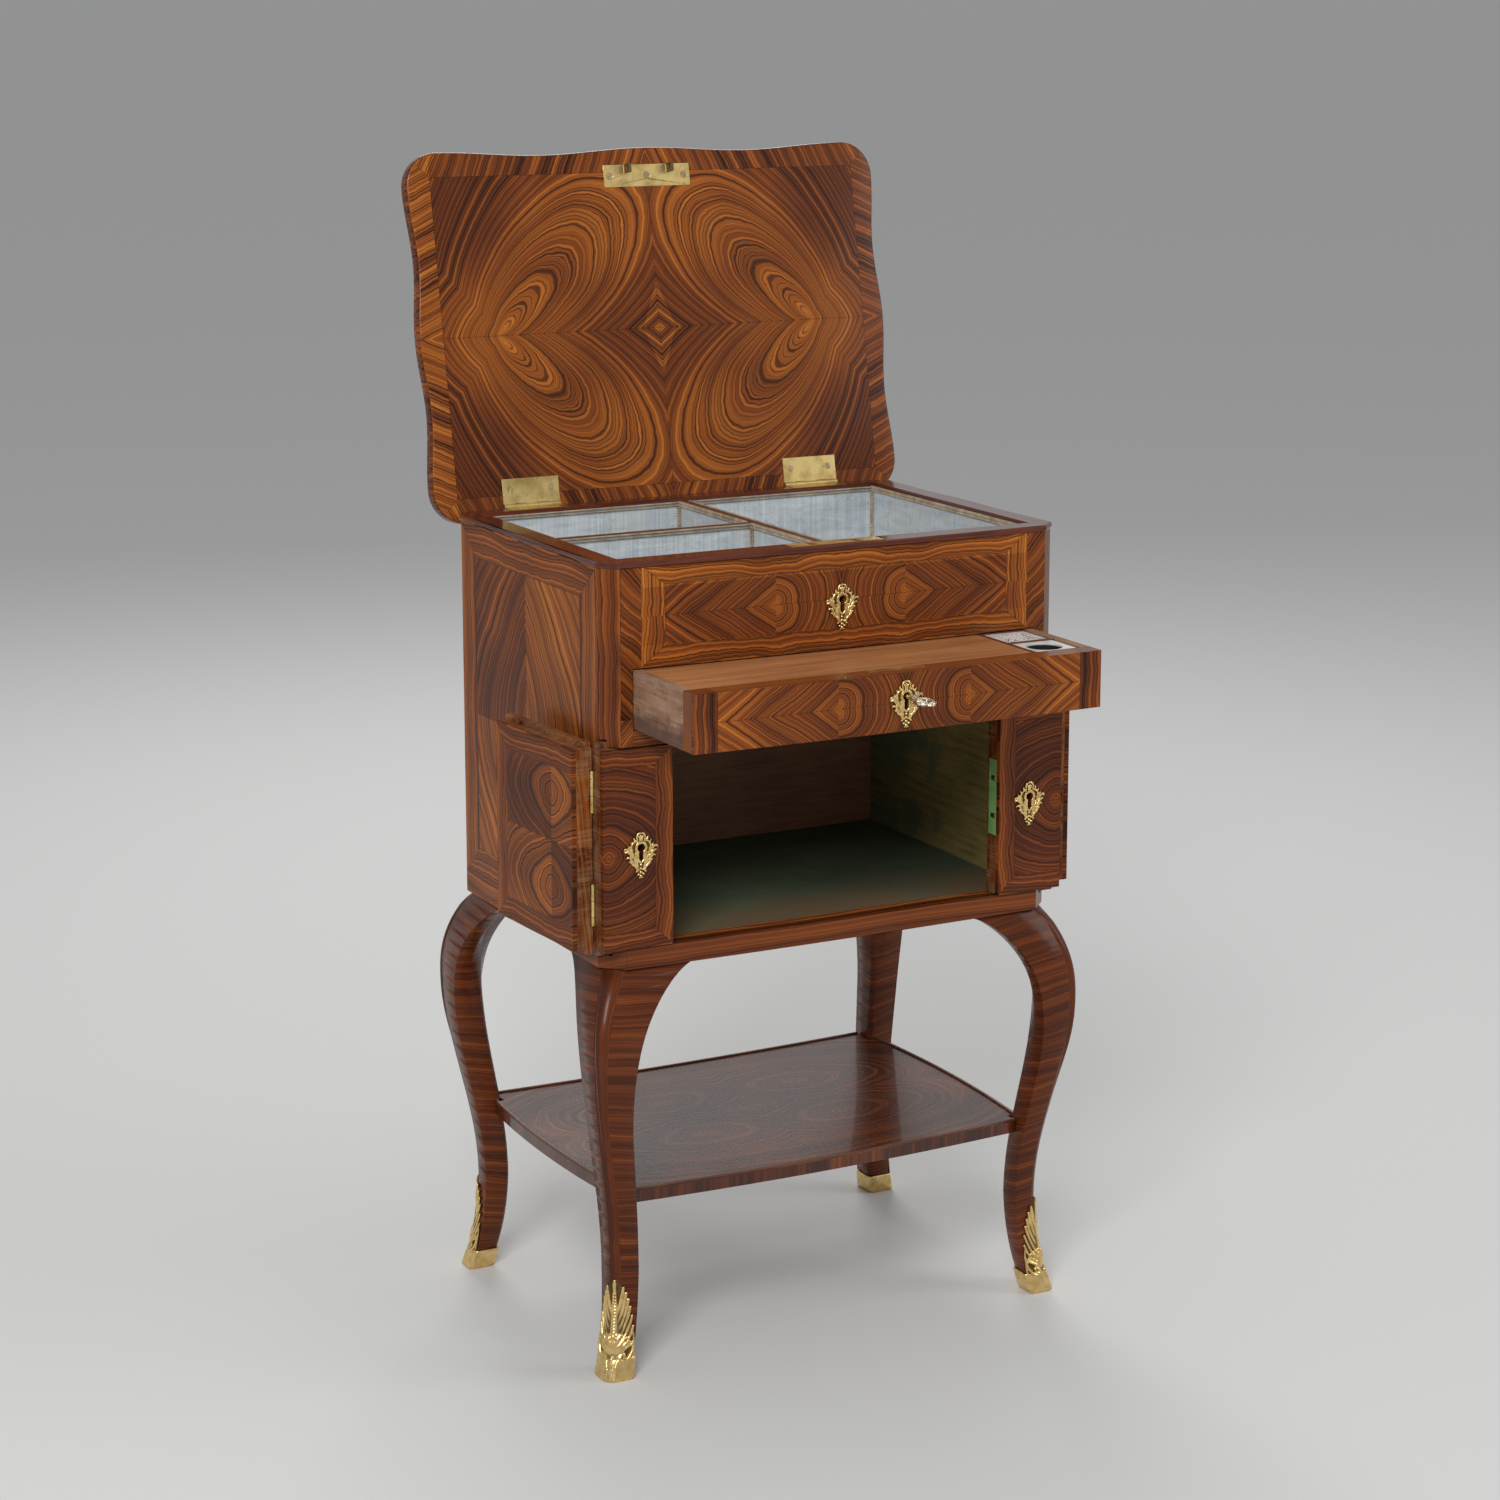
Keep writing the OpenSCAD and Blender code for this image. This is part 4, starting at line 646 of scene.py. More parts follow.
def bevelled(obj, width, limit, hard):
    """Rounds the edges that bend by more than limit degrees, by width in metres."""
    soft = obj.modifiers.new("rounded", "BEVEL")
    soft.width, soft.segments, soft.harden_normals = width, 2, hard
    soft.limit_method, soft.angle_limit = "ANGLE", math.radians(limit)


easing = edge_easing()
for name, node in nodes.items():
    easing.shape(node, Weld=0.00001, Angle=math.radians(28))
    bevelled(node, 0.0005 if finishes.get(name, brass) is not brass else 0.00025, 50, False)
    flat = node.modifiers.new("flat_faces", "WEIGHTED_NORMAL")
    flat.keep_sharp, flat.weight = True, 80


# Pieces with their own shape

@contextmanager
def opened(mesh):
    """The mesh's points and faces, to be changed and then put back."""
    bm = bmesh.new()
    bm.from_mesh(mesh)
    yield bm
    bm.to_mesh(mesh)
    bm.free()


def shaded(mesh, limit):
    """Rounds every bend below the limit in degrees and keeps the others sharp."""
    with opened(mesh) as bm:
        for face in bm.faces:
            face.smooth = True
        for edge in bm.edges:
            edge.smooth = (len(edge.link_faces) == 2
                and edge.calc_face_angle(0) < math.radians(limit))


def placed(name, data):
    """A new object of the scene."""
    obj = bpy.data.objects.new(name, data)
    bpy.context.scene.collection.objects.link(obj)
    return obj


def meshed(name, points, faces, edges=()):
    """An object from points in metres."""
    mesh = bpy.data.meshes.new(name)
    mesh.from_pydata(np.asarray(points, float).tolist(), edges, faces)
    return placed(name, mesh)


def made(name, points, faces, finish, outward=False):
    """An object from points in millimetres in the body's coordinates."""
    obj = meshed(name, (np.asarray(points, float) - (0, mid_y, 0)) * mm, faces)
    if outward:
        with opened(obj.data) as bm:
            bmesh.ops.recalc_face_normals(bm, faces=bm.faces)
    obj.data.materials.append(finish.material)
    return obj


def settled(obj, limit=None):
    """Turns the object's modifiers into its plain mesh, and shades it below the limit."""
    seen = obj.evaluated_get(bpy.context.evaluated_depsgraph_get())
    mesh = bpy.data.meshes.new_from_object(seen)
    obj.modifiers.clear()
    old, obj.data = obj.data, mesh
    bpy.data.meshes.remove(old)
    if limit is not None:
        shaded(mesh, limit)


def fitted(obj, body, slot, *stands_for):
    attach(obj, body)
    if stands_for:
        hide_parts(*stands_for)


def joined(*skins):
    """Points and faces of several skins as one."""
    points, faces = [], []
    for p, f in skins:
        faces += [[len(points) + int(i) for i in face] for face in f]
        points += [tuple(q) for q in p]
    return points, faces


def loft(rings):
    """Points and faces of a closed skin through rings with the same number of points."""
    n, m = len(rings[0]), len(rings)
    faces = [[i * n + j, i * n + (j + 1) % n, (i + 1) * n + (j + 1) % n, (i + 1) * n + j]
        for i in range(m - 1) for j in range(n)]
    faces += [list(range(n))[::-1], [(m - 1) * n + j for j in range(n)]]
    return [p for ring in rings for p in ring], faces


def grid(n, m, at):
    """Points and faces of a sheet of n by m cells, where at gives the point for the shares
    u and v of its two ways."""
    points = [at(i / n, j / m) for i in range(n + 1) for j in range(m + 1)]
    first = [i * (m + 1) + j for i in range(n) for j in range(m)]
    return points, [[q, q + m + 1, q + m + 2, q + 1] for q in first]


def box(low, high):
    """Points and faces of a box from its low to its high corner."""
    return ([(x, y, z) for x in (low[0], high[0]) for y in (low[1], high[1])
        for z in (low[2], high[2])],
        ((0, 1, 3, 2), (4, 6, 7, 5), (0, 4, 5, 1), (2, 3, 7, 6), (0, 2, 6, 4), (1, 5, 7, 3)))


def unit(t):
    return max(0, min(1, t))


def ease_in(t):
    return (1 - math.cos(math.pi * unit(t))) / 2


# Lid

def wave_outline(drawn_in, height, steps=64, turn=18):
    """Waved outline of the shut lid, drawn in from its widest line."""
    lid_w, lid_d, radius, wave = 526, 365, 32, 2.6
    middle = hinge_y + 11 - lid_d / 2
    ring = []
    for k in range(4):
        a, b = (lid_w / 2, lid_d / 2) if k % 2 == 0 else (lid_d / 2, lid_w / 2)
        side = [((a - radius) * (2 * i / steps - 1),
            drawn_in - b - wave * math.cos(4 * math.pi * i / steps)) for i in range(steps)]
        for j in range(turn):
            w = math.radians(-90 + 90 * j / turn)
            reach = radius - drawn_in + wave
            side.append((a - radius + reach * math.cos(w), radius - b + reach * math.sin(w)))
        c, s = round(math.cos(k * math.pi / 2)), round(math.sin(k * math.pi / 2))
        ring += [(x * c - y * s, middle + x * s + y * c, height) for x, y in side]
    return ring


def lid_up(points):
    """Turns points of the shut lid about the hinge pin to the open lid."""
    p = np.asarray(points, float) - (0, hinge_y, hinge_z)
    c, s = math.cos(-lid_turn), math.sin(-lid_turn)
    return np.stack([p[:, 0], hinge_y + p[:, 1] * c - p[:, 2] * s,
        hinge_z + p[:, 1] * s + p[:, 2] * c], 1)


def lid():
    """Waved board with a rounded edge, let in for the hinges and the strike plate."""
    edge, thick, low = 3.5, 16, top_z + 1
    quarter = [math.radians(15 * k) for k in range(7)]
    profile = [(edge * (1 - math.sin(a)), edge * (1 - math.cos(a))) for a in quarter]
    profile += [(inset, thick - up) for inset, up in profile[::-1]]
    points, faces = loft([wave_outline(inset, low + up) for inset, up in profile])
    board = made("lid", lid_up(points), faces, finishes["lid_board"], True)
    cuts = [box((-49.1, 5.9, low - 1), (49.1, 29.1, low + 1.6))]
    for x in (-160, 160):
        cuts += [box((x - 31.1, hinge_y - back, low - 1), (x + 31.1, hinge_y + out, low + deep))
            for back, out, deep in ((28.1, 0, 1.3), (3, 2.95, 2.5))]
    points, faces = joined(*cuts)
    cutter = made("lid_cutter", lid_up(points), faces, finishes["lid_board"], True)
    cut = board.modifiers.new("let_in", "BOOLEAN")
    cut.operation, cut.object, cut.solver, cut.use_self = "DIFFERENCE", cutter, "EXACT", True
    settled(board, 30)
    bpy.data.objects.remove(cutter)
    fitted(board, "lid", "veneer", "lid_board")


# Legs

def leg_out(z):
    knee_out, top_in, ankle_in, toe_out = 19, 5, 7, 5
    if z >= knee_z:
        return knee_out - (knee_out + top_in) * ((z - knee_z) / (leg_h - knee_z)) ** 2.2
    if z >= ankle_z:
        return knee_out - (knee_out + ankle_in) * ease_in((knee_z - z) / (knee_z - ankle_z))
    return (toe_out + ankle_in) * (1 - z / ankle_z) ** 2.2 - ankle_in


def leg_core(z):
    knee_t, ankle_t, toe_t = 34, 27, 24
    return (ankle_t + (knee_t - ankle_t) * ease_in((z - ankle_z) / (knee_z - ankle_z))
        - (ankle_t - toe_t) * max(0, 1 - z / ankle_z))


def flare(z):
    """Share by which the leg has spread into its wings, which start below its top."""
    wing_h = 172
    t = unit((z - leg_h + wing_h) / wing_h)
    return 1 - math.sqrt(max(0, 1 - t * t))


def arris(z):
    return 8 + 8 * max(0, (z - 250) / (leg_h - 250)) ** 2


def cushion(z, t):
    """How far the raised drop on the outer edge of the leg stands out, across the edge at t."""
    up = unit((397 - z) / 12) ** 0.5
    fade = ease_in((z - 205) / 90)
    half = 0.42 * (0.45 + 0.55 * ease_in((z - 200) / 170))
    side = max(0, 1 - (abs(t - 0.5) / half) ** 2.6)
    return 3.4 * up * fade * side ** 0.6


def leg_ring(z, grown, across):
    """Section of the leg at a height, for the front left corner: the strip, then the faces."""
    o, w, c = leg_out(z) + grown, leg_core(z) + 2 * grown, arris(z)
    f, i = w + 60 * flare(z) - o, w - o
    e, k = w / 2 + (18 - w / 2) * flare(z), 4
    strip = []
    for j in range(across + 1):
        t = j / across
        out = 0.14 * c * (1 - (2 * t - 1) ** 2) + (cushion(z, t) if grown == 0 else 0)
        strip.append((c * t - o - out / math.sqrt(2), c * (1 - t) - o - out / math.sqrt(2), z))
    return strip + [(f, -o, z), (f, e - o, z), (i, i - k, z), (i - k, i, z),
        (e - o, f, z), (-o, f, z)]


def corner(points, right, rear):
    """Moves points of the front left corner to one of the four corners."""
    p = np.asarray(points, float)
    x = p[:, 0] - half_w
    return np.stack([-x if right else x, body_d - p[:, 1] if rear else p[:, 1], p[:, 2]], 1)


def leg(name, right, rear):
    """A cabriole leg, whose faces and points carry what its veneer needs."""
    across, steps = 14, 110
    rings = [leg_ring(leg_h - (leg_h - foot_z) * (1 - k / steps) ** 1.25, 0, across)
        for k in range(steps + 1)]
    points, faces = loft(rings)
    n = len(rings[0])
    obj = made("cabriole_" + name, corner(points, right, rear), faces, leg_finish, True)
    mesh = obj.data
    # the growth lines: across the strip on the outer edge, and slanting on the faces
    along = [0]
    for a, b in zip(rings[:-1], rings[1:]):
        along.append(along[-1] + math.dist(a[0], b[0]))
    strip = mesh.attributes.new("strip", "FLOAT", "FACE")
    values = []
    for face in mesh.polygons:
        cells = [v % n for v in face.vertices]
        on_strip = (len(cells) == 4 and max(cells) <= across
            and max(cells) - min(cells) == 1)
        strip.data[face.index].value = float(on_strip)
        for v in face.vertices:
            i, j = divmod(v, n)
            x, y, _ = points[v]
            slant = y if j in (across, across + 1) else x
            values.append(j * 1.1 + 300 if on_strip
                else along[i] + (x + y) * 0.16 + slant * 0.05)
    mesh.attributes.new("grain", "FLOAT", "CORNER").data.foreach_set("value", values)
    bevelled(obj, 0.7 * mm, 40, True)
    settled(obj, 38)
    fitted(obj, "carcass", "veneer", name)


# Cast ornament

def stroke(path, flat=1, sides=10, fine=7):
    """A round stroke with closed ends through points, each with x, y, z and its radius."""
    path = np.asarray(path, float)
    p, r = path[:, :3], path[:, 3]
    q = np.vstack([2 * p[0] - p[1], p, 2 * p[-1] - p[-2]])
    line, wide = [], []
    for k in range(len(p) - 1):
        a, b, c, d = q[k:k + 4]
        for t in np.arange(fine) / fine:
            line.append(0.5 * (2 * b + (c - a) * t + (2 * a - 5 * b + 4 * c - d) * t ** 2
                + (3 * b - a - 3 * c + d) * t ** 3))
            wide.append(r[k] + (r[k + 1] - r[k]) * t)
    line, wide = np.array(line + [p[-1]]), wide + [r[-1]]
    along = np.gradient(line, axis=0)
    along /= np.maximum(np.linalg.norm(along, axis=1), 1e-9)[:, None]
    # the rings along the line, with three smaller ones for each round end
    last, round_end = len(line) - 1, (0.45, 0.9, 1.25)
    stops = ([(0, -1, a) for a in round_end[::-1]] + [(k, 0, 0) for k in range(last + 1)]
        + [(last, 1, a) for a in round_end])
    rings = []
    for k, way, a in stops:
        t = along[k]
        side = np.cross((0, 0, 1), t)
        length = np.linalg.norm(side)
        side = side / length if length > 0.05 else np.array((1, 0, 0))
        up = np.cross(t, side)
        centre = line[k] + t * way * wide[k] * math.sin(a)
        size = wide[k] * math.cos(a)
        rings.append([centre + size * (math.cos(w) * side + flat * math.sin(w) * up)
            for w in np.linspace(0, 2 * math.pi, sides, endpoint=False)])
    return loft(rings)


def bead(x, y, z, r):
    return stroke([(x - 0.02, y, z, r), (x + 0.02, y, z, r)], 1, 10, 1)


def both(path, lean=0, flat=1):
    """A stroke and its mirror image, which differs by a little lean."""
    p = np.asarray(path, float)
    return [stroke(p, flat), stroke(p * (-1, 1, 1, 1) + (0, lean, 0, 0), flat)]


def arc(middle, wide, high, span, z, radii):
    """Points with radii, round a middle on the centre line, over a span in degrees."""
    return [(wide * math.cos(a), middle + high * math.sin(a), z, r)
        for a, r in zip(np.radians(np.linspace(*span, len(radii))), radii)]


def cast(parts, voxel, smooth=1):
    """One skin over many strokes, as points and faces in millimetres."""
    points, faces = joined(*parts)
    obj = meshed("pattern", np.asarray(points) * mm, faces)
    skin = obj.modifiers.new("skin", "REMESH")
    skin.mode, skin.voxel_size = "VOXEL", voxel * mm
    even = obj.modifiers.new("even", "SMOOTH")
    even.factor, even.iterations = 0.5, smooth
    settled(obj)
    p = np.array([v.co for v in obj.data.vertices]) / mm
    f = [list(face.vertices) for face in obj.data.polygons]
    bpy.data.objects.remove(obj)
    return p, f


def with_relief(name, points, faces, finish, values):
    """A casting that keeps how high each point lies, so that its hollows can carry painted shade.
    """
    obj = made(name, points, faces, finish, True)
    obj.data.attributes.new("relief", "FLOAT", "POINT").data.foreach_set("value",
        np.clip(values, 0, 1).astype(np.float32))
    shaded(obj.data, 80)
    return obj


def cartouche():
    """Pierced rococo escutcheon, flat on its back, with its middle at the origin."""
    parts = [stroke(arc(7.5, 5.1, 5.1, (-52, 232), 1.4, [1.45] * 15)),
        stroke([(x, y, 1.4, 1.2) for x, y in ((3.4, 3.8), (3.1, 0), (3, -3.8), (0, -6.6),
            (-3, -3.8), (-3.1, 0), (-3.4, 3.8))]),
        stroke(arc(17.6, 4.3, 4.1, (-35, 215), 1.3,
            (0.6, 0.9, 1, 1.1, 1.15, 1.2, 1.15, 1.1, 1, 0.9, 0.6)))]
    parts += [stroke([(x * 0.3, 13.6, 1.1, 0.6), (x, y, 1.3, 0.85)])
        for x, y in ((0, 19), (1.9, 18.2), (-1.9, 18.2))]
    # pairs of scrolls: how far the second one leans, and the points of the first
    for lean, *path in (
            (-0.5, (4.2, 14.2, 1.2, 0.9), (6.6, 15.6, 1.3, 1), (7, 18, 1, 0.45)),
            (0, (4.6, 14, 1.2, 0.8), (8.2, 12.6, 1.4, 1.1), (10, 8.6, 1.3, 1.1),
                (8.6, 5.4, 1.2, 0.8)),
            (-0.6, (8.2, 12.2, 1.1, 0.9), (10, 13.4, 1.1, 0.8), (10.6, 15.4, 0.8, 0.35)),
            (-0.8, (9.6, 9.4, 1.1, 0.9), (12.2, 10.2, 1.1, 0.85), (13.6, 12, 0.8, 0.35)),
            (-0.9, (7.6, 2, 1.2, 0.9), (10.6, 6, 1.6, 1.4), (13.8, 8.4, 1.6, 1.4),
                (16.4, 8, 1.3, 1.2), (17, 5.8, 1, 0.5)),
            (0.4, (8.6, -1.4, 1.2, 0.9), (12, 3.2, 1.6, 1.4), (14.6, 4.4, 1.4, 1.2),
                (17, 3.2, 0.9, 0.4)),
            (-0.5, (8.8, -4.4, 1.2, 0.9), (11.6, -0.6, 1.5, 1.3), (13.6, -0.2, 1.2, 1.1),
                (15.4, -1.8, 0.9, 0.4)),
            (0, (2.6, -11.4, 1, 0.6), (4.52, -3.4, 1.6, 1.05), (5.6, 2.6, 1.3, 0.8)),
            (0, (2.6, -11.4, 1, 0.6), (5.92, -5.6, 1.6, 1.05), (7.6, 0.4, 1.3, 0.8)),
            (0, (2.6, -11.4, 1, 0.6), (7.32, -8.6, 1.6, 1.05), (9.6, -2.6, 1.3, 0.8)),
            (0, (11, -4.4, 1.2, 0.6), (8.6, -7.4, 1.5, 1.2), (5.6, -10.2, 1.5, 1.2),
                (4, -13.4, 1.2, 0.9)),
            (-0.7, (9.4, -4.6, 1.1, 0.9), (11.6, -4.8, 1, 0.7), (13.2, -3.4, 0.8, 0.35)),
            (0.4, (6.8, -8.4, 1, 0.8), (8.8, -9.2, 1, 0.7), (10.2, -8, 0.7, 0.35))):
        parts += both(path, lean)
    parts += [bead(*at) for at in ((0, 22, 1.2, 1), (3.4, 20.9, 1, 0.8), (-3.3, 21.1, 1, 0.8))]
    # cluster of berries below
    parts += [bead(x, y, 1, r) for x, y, r in ((0, -9, 1.2), (0, -12.3, 1.5), (2.7, -13.4, 1.4),
        (-2.7, -13.6, 1.4), (4.6, -15.2, 1.2), (-4.6, -15, 1.1), (0, -15.8, 1.6),
        (2.7, -17.6, 1.3), (-2.6, -17.8, 1.3), (0, -19.3, 1.4), (1.7, -20.9, 0.9),
        (-1.7, -21, 0.9))]
    parts.append(stroke([(0, -20, 1, 1.2), (0, -22.4, 0.7, 0.55)]))
    # thin web behind the scrolls
    parts += both([(6.6, 12.4, 0.35, 2), (7.6, 6.6, 0.4, 2.6), (7.2, -0.5, 0.4, 3.4),
        (4.6, -8.6, 0.4, 2.4)], flat=0.22)
    parts += [stroke([(0, -10.4, 0.4, 3.4), (0, -18.6, 0.4, 2.6)], 0.2),
        stroke([(0, 12.8, 0.4, 3.4), (0, 17.6, 0.4, 3.2)], 0.2)]
    p, f = cast(parts, 0.34, 2)
    p[:, 2] = np.clip(p[:, 2], 0, 2.45)
    return p, f


def escutcheons():
    p, f = cartouche()
    for name, body, x, y, z in (("well_escutcheon", "carcass", 0, front_y, 727),
            ("drawer_escutcheon", "drawer", 0, front_y - drawer_out, drawer_lock_z),
            ("left_shutter_escutcheon", "left_stile", -212.25, front_y, stile_mid_z),
            ("right_shutter_escutcheon", "right_stile", 212.25, front_y, stile_mid_z)):
        # the plates in the middle follow the fronts, which are bowed
        bow = 4 * (p[:, 0] / 229) ** 2 * (x == 0)
        at = np.stack([p[:, 0] + x, y + bow - p[:, 2], p[:, 1] + z], 1)
        obj = with_relief(name + "_cast", at, f, gilt, (p[:, 2] - 1.1) / 1.1)
        fitted(obj, body, "gilt_bronze", name)


def shoe_skin(s, z, h):
    """Place on the leg at a height, s round from its outer edge, raised by h."""
    half = 5.3
    o, c = leg_out(max(z, foot_z)) + 0.1, arris(z)
    a, d = abs(s), 0.1 * c
    t = min(1, a / half)
    bend = ease_in((a - half + 2.2) / 4.4)
    n = np.array((-1 + bend, -1))
    n /= np.linalg.norm(n)
    x = c / 2 * (1 + t) - o - d * (1 - t * t) + max(0, a - half)
    y = c / 2 * (1 - t) - o - d * (1 - t * t)
    x, y = x + n[0] * h, y + n[1] * h
    return (x, y, z) if s >= 0 else (y, x, z)


def acanthus():
    """The leaf, shell and scrolls of a shoe, laid out flat: s across, z up, h out."""
    parts = []
    for wide, high in ((18.2, 51), (16.6, 61), (14.6, 70), (12.6, 77.5), (10, 84), (7, 90)):
        parts += both([(wide * 0.25, high - 34, 0.8, 0.6), (wide * 0.62, high - 20, 1.4, 1.15),
            (wide * 0.88, high - 9, 1.7, 1.45), (wide, high - 1.4, 1.5, 1.3)])
    parts.append(stroke([(0, 20, 0, 19), (0, 46, 0, 18.6), (0, 58, 0, 16.6), (0, 80, 0, 11),
        (0, 93, 0, 4)], 0.09, 32))
    parts.append(stroke([(0, 84, 1.2, 1.4), (0, 91, 1.6, 2), (0, 95.6, 1.2, 1.2)]))
    parts += [bead(0, 45 + k * 3.1, 2.3, 1.25 - 0.03 * k) for k in range(15)]
    parts += both([(1.9, 44, 1.7, 0.7), (1.8, 66, 1.7, 0.7), (1.2, 88, 1.5, 0.5)])
    # shell
    for k in range(9):
        a = math.radians(90 + (k - 4) * 15.5)
        reach, x, y = 17.5 if k % 2 == 0 else 16.4, math.cos(a), math.sin(a)
        parts.append(stroke([(2.2 * x, 23.5 + 2.2 * y, 1.2, 0.7), (9 * x, 24 + 9 * y, 2.3, 1.2),
            (reach * x, 24 + reach * y, 2.2, 1.6)]))
    parts += [bead(*at) for at in arc(24, 19.6, 19.2, (16.4, 163.6), 1.8, [1.15] * 17)]
    parts.append(stroke([(0, 22, 0.8, 16), (0, 34, 1, 15)], 0.04, 24))
    # scrolls, and the cleft of the foot
    parts += both([(18.6, 44, 1.2, 0.8), (19.6, 35, 1.6, 1.4), (18.4, 26, 1.9, 1.7),
        (14.2, 19.6, 2.1, 1.7), (9.2, 18.4, 2.1, 1.5), (6.6, 21.4, 2, 1.3), (8.2, 24.6, 2, 1.2),
        (11, 24, 2, 1), (10.8, 21.6, 2, 0.8)])
    parts += both([(20.6, 30, 1, 0.8), (20.8, 22, 1.2, 1.2), (17, 16.4, 1.3, 0.8)])
    parts.append(stroke([(0, 2, 2.4, 1.7), (0, 12, 2.4, 1.8), (0, 21, 1.9, 1.5)]))
    parts += both([(4.1, 2, 2.6, 1.4), (4.1, 12, 2.5, 1.5), (4.8, 18.6, 2, 1.1)])
    p, f = cast(parts, 0.62)
    p[:, 2] = np.clip(p[:, 2], 0, 3.7)
    p[:, 1] = np.clip(p[:, 1], 0.1, 97)
    return p, f


def softened(ring, rounds, n=72):
    """A ring with n even points, its corners worn round."""
    q = np.array(ring + ring[:1])
    run = np.concatenate([[0], np.cumsum(np.linalg.norm(np.diff(q, axis=0), axis=1))])
    even = np.linspace(0, run[-1], n, endpoint=False)
    p = np.stack([np.interp(even, run, q[:, k]) for k in range(3)], 1)
    for _ in range(rounds):
        p = (np.roll(p, 1, 0) + 2 * p + np.roll(p, -1, 0)) / 4
    return p.tolist()


def shoes():
    """The four shoes as one casting: ornament outside, over a plain lined collar."""
    p, ornament = acanthus()
    skin = [shoe_skin(*q) for q in p]
    outer = [softened(leg_ring(z, g, 8), 5) for z, g in ((0, 1.8), (0.7, 2.6), (4, 2.9),
        (10, 2.6), (16, 2.3), (19.4, 2.1), (20.3, 1.8), (20.8, 1.2))]
    inner = [softened([(x, y, z) for x, y, _ in leg_ring(max(z, foot_z), 0.12, 8)], 0)
        for z in (20.8, 14, 6, foot_z - 0.1)]
    collar, sides = loft(outer + inner)
    relief = [*((p[:, 2] - 1.4) / 1.1), *[0.75] * len(collar)]
    skins = [(corner(points, right, rear), [face[::-1] if right != rear else face for face in f])
        for right in (False, True) for rear in (False, True)
        for points, f in ((skin, ornament), (collar, sides))]
    obj = with_relief("shoes_cast", *joined(*skins), gilt, relief * 4)
    fitted(obj, "carcass", "gilt_bronze", "sabots")


def key():
    """Key with a pierced bow of scrolls, in line with the keyhole's axis, bow level."""
    z, face = drawer_lock_z + 7.5, -4 - drawer_out - 2.4
    parts = []
    for path in (
            ((0, -17, 0, 1.9), (3.6, -19.5, 0.2, 2.2), (6.6, -25.5, 0.3, 2.4),
                (7.4, -32, 0.3, 2.4), (5.2, -37.5, 0.2, 2.1), (1.2, -39.2, 0, 1.6)),
            ((1, -39, 0, 1.2), (3.4, -42.6, 0.2, 1.4), (1.6, -45, 0, 1)),
            ((0.6, -21, 0, 1.2), (3.2, -25, 0.6, 1.7), (2.6, -30, 0.7, 1.6),
                (0.8, -33, 0.5, 1)),
            ((6.4, -24, 0, 1), (9.2, -25.2, 0, 0.9), (9.6, -22.6, 0, 0.6)),
            ((7.2, -33, 0, 1.1), (9.6, -35, 0, 1), (8.4, -37.6, 0, 0.6))):
        parts += both(path)
    parts += [bead(*at) for at in ((7.9, -29, 0.3, 1.7), (-7.9, -29, 0.3, 1.7),
        (0, -36, 0, 1.8), (0, -26, 0.2, 1.5), (0, -44.6, 0, 1.2))]
    # collars, stem and bit
    parts += [stroke([(0, y - 0.35, 0, r), (0, y + 0.35, 0, r)], 1, 20, 1)
        for y, r in ((-16.6, 2.4), (-15, 3), (-13.2, 3.7), (-11.4, 3), (-9.8, 2.4))]
    parts.append(stroke([(0, -17, 0, 2.15), (0, 2, 0, 2.15), (0, 20.4, 0, 2.15)], 1, 20))
    parts.append(stroke([(0, 19.2, -2, 1), (0, 19.2, -6.9, 1)], 1, 8))
    p, f = cast(parts, 0.36)
    obj = with_relief("key_cast", p + (0, face, z), f, pale_gilt,
        0.25 + np.hypot(p[:, 2], 0.6) / 2.6)
    fitted(obj, "key", "gilt_bronze", "drawer_key")


# Cloth

compartments = ((-inner_half, 174, -4, back_y), (-inner_half, 20, -4, 166),
    (4, 20, inner_half, back_y))
silk_gap, silk_down, wall_steps = 0.5, 0.2, 14


def silk_lining(k, name, x0, y0, x1, y1):
    """Silk on the floor and the four walls of a compartment, cut as a cross."""
    x0, y0, x1, y1 = x0 + silk_gap, y0 + silk_gap, x1 - silk_gap, y1 - silk_gap
    z = well_floor_z + silk_gap
    w, d, h = x1 - x0, y1 - y0, divider_z - silk_down - z
    n, m = max(8, int(w / 5)), max(8, int(d / 5))

    def patch(a, b, c, n, m):
        """A patch from a, along b in n steps and along c in m steps, a little puckered."""
        a, b, c = (np.array(q, float) for q in (a, b, c))
        normal = np.cross(b, c)
        normal /= np.linalg.norm(normal)

        def at(u, v):
            hold = min(1, 10 * min(u, 1 - u), 6 * min(v, 1 - v))
            wave = 0.35 * hold * (0.5 + 0.3 * math.sin(u * n * 0.61 + k) * math.sin(v * 3.1)
                + 0.2 * math.sin(u * n * 0.23 + v * 5 + 2 * k))
            return a + b * u + c * v + normal * wave

        return grid(n, m, at)

    up = (0, 0, h)
    points, faces = joined(patch((x0, y0, z), (w, 0, 0), (0, d, 0), n, m),
        patch((x0, y1, z), (w, 0, 0), up, n, wall_steps),
        patch((x1, y0, z), (-w, 0, 0), up, n, wall_steps),
        patch((x0, y0, z), (0, d, 0), up, m, wall_steps),
        patch((x1, y1, z), (0, -d, 0), up, m, wall_steps))
    obj = made("silk_" + name, points, faces, silk)
    with opened(obj.data) as bm:
        bmesh.ops.remove_doubles(bm, verts=bm.verts, dist=0.00002)
    shaded(obj.data, 40)
    fitted(obj, "carcass", "silk", "silk_linings")


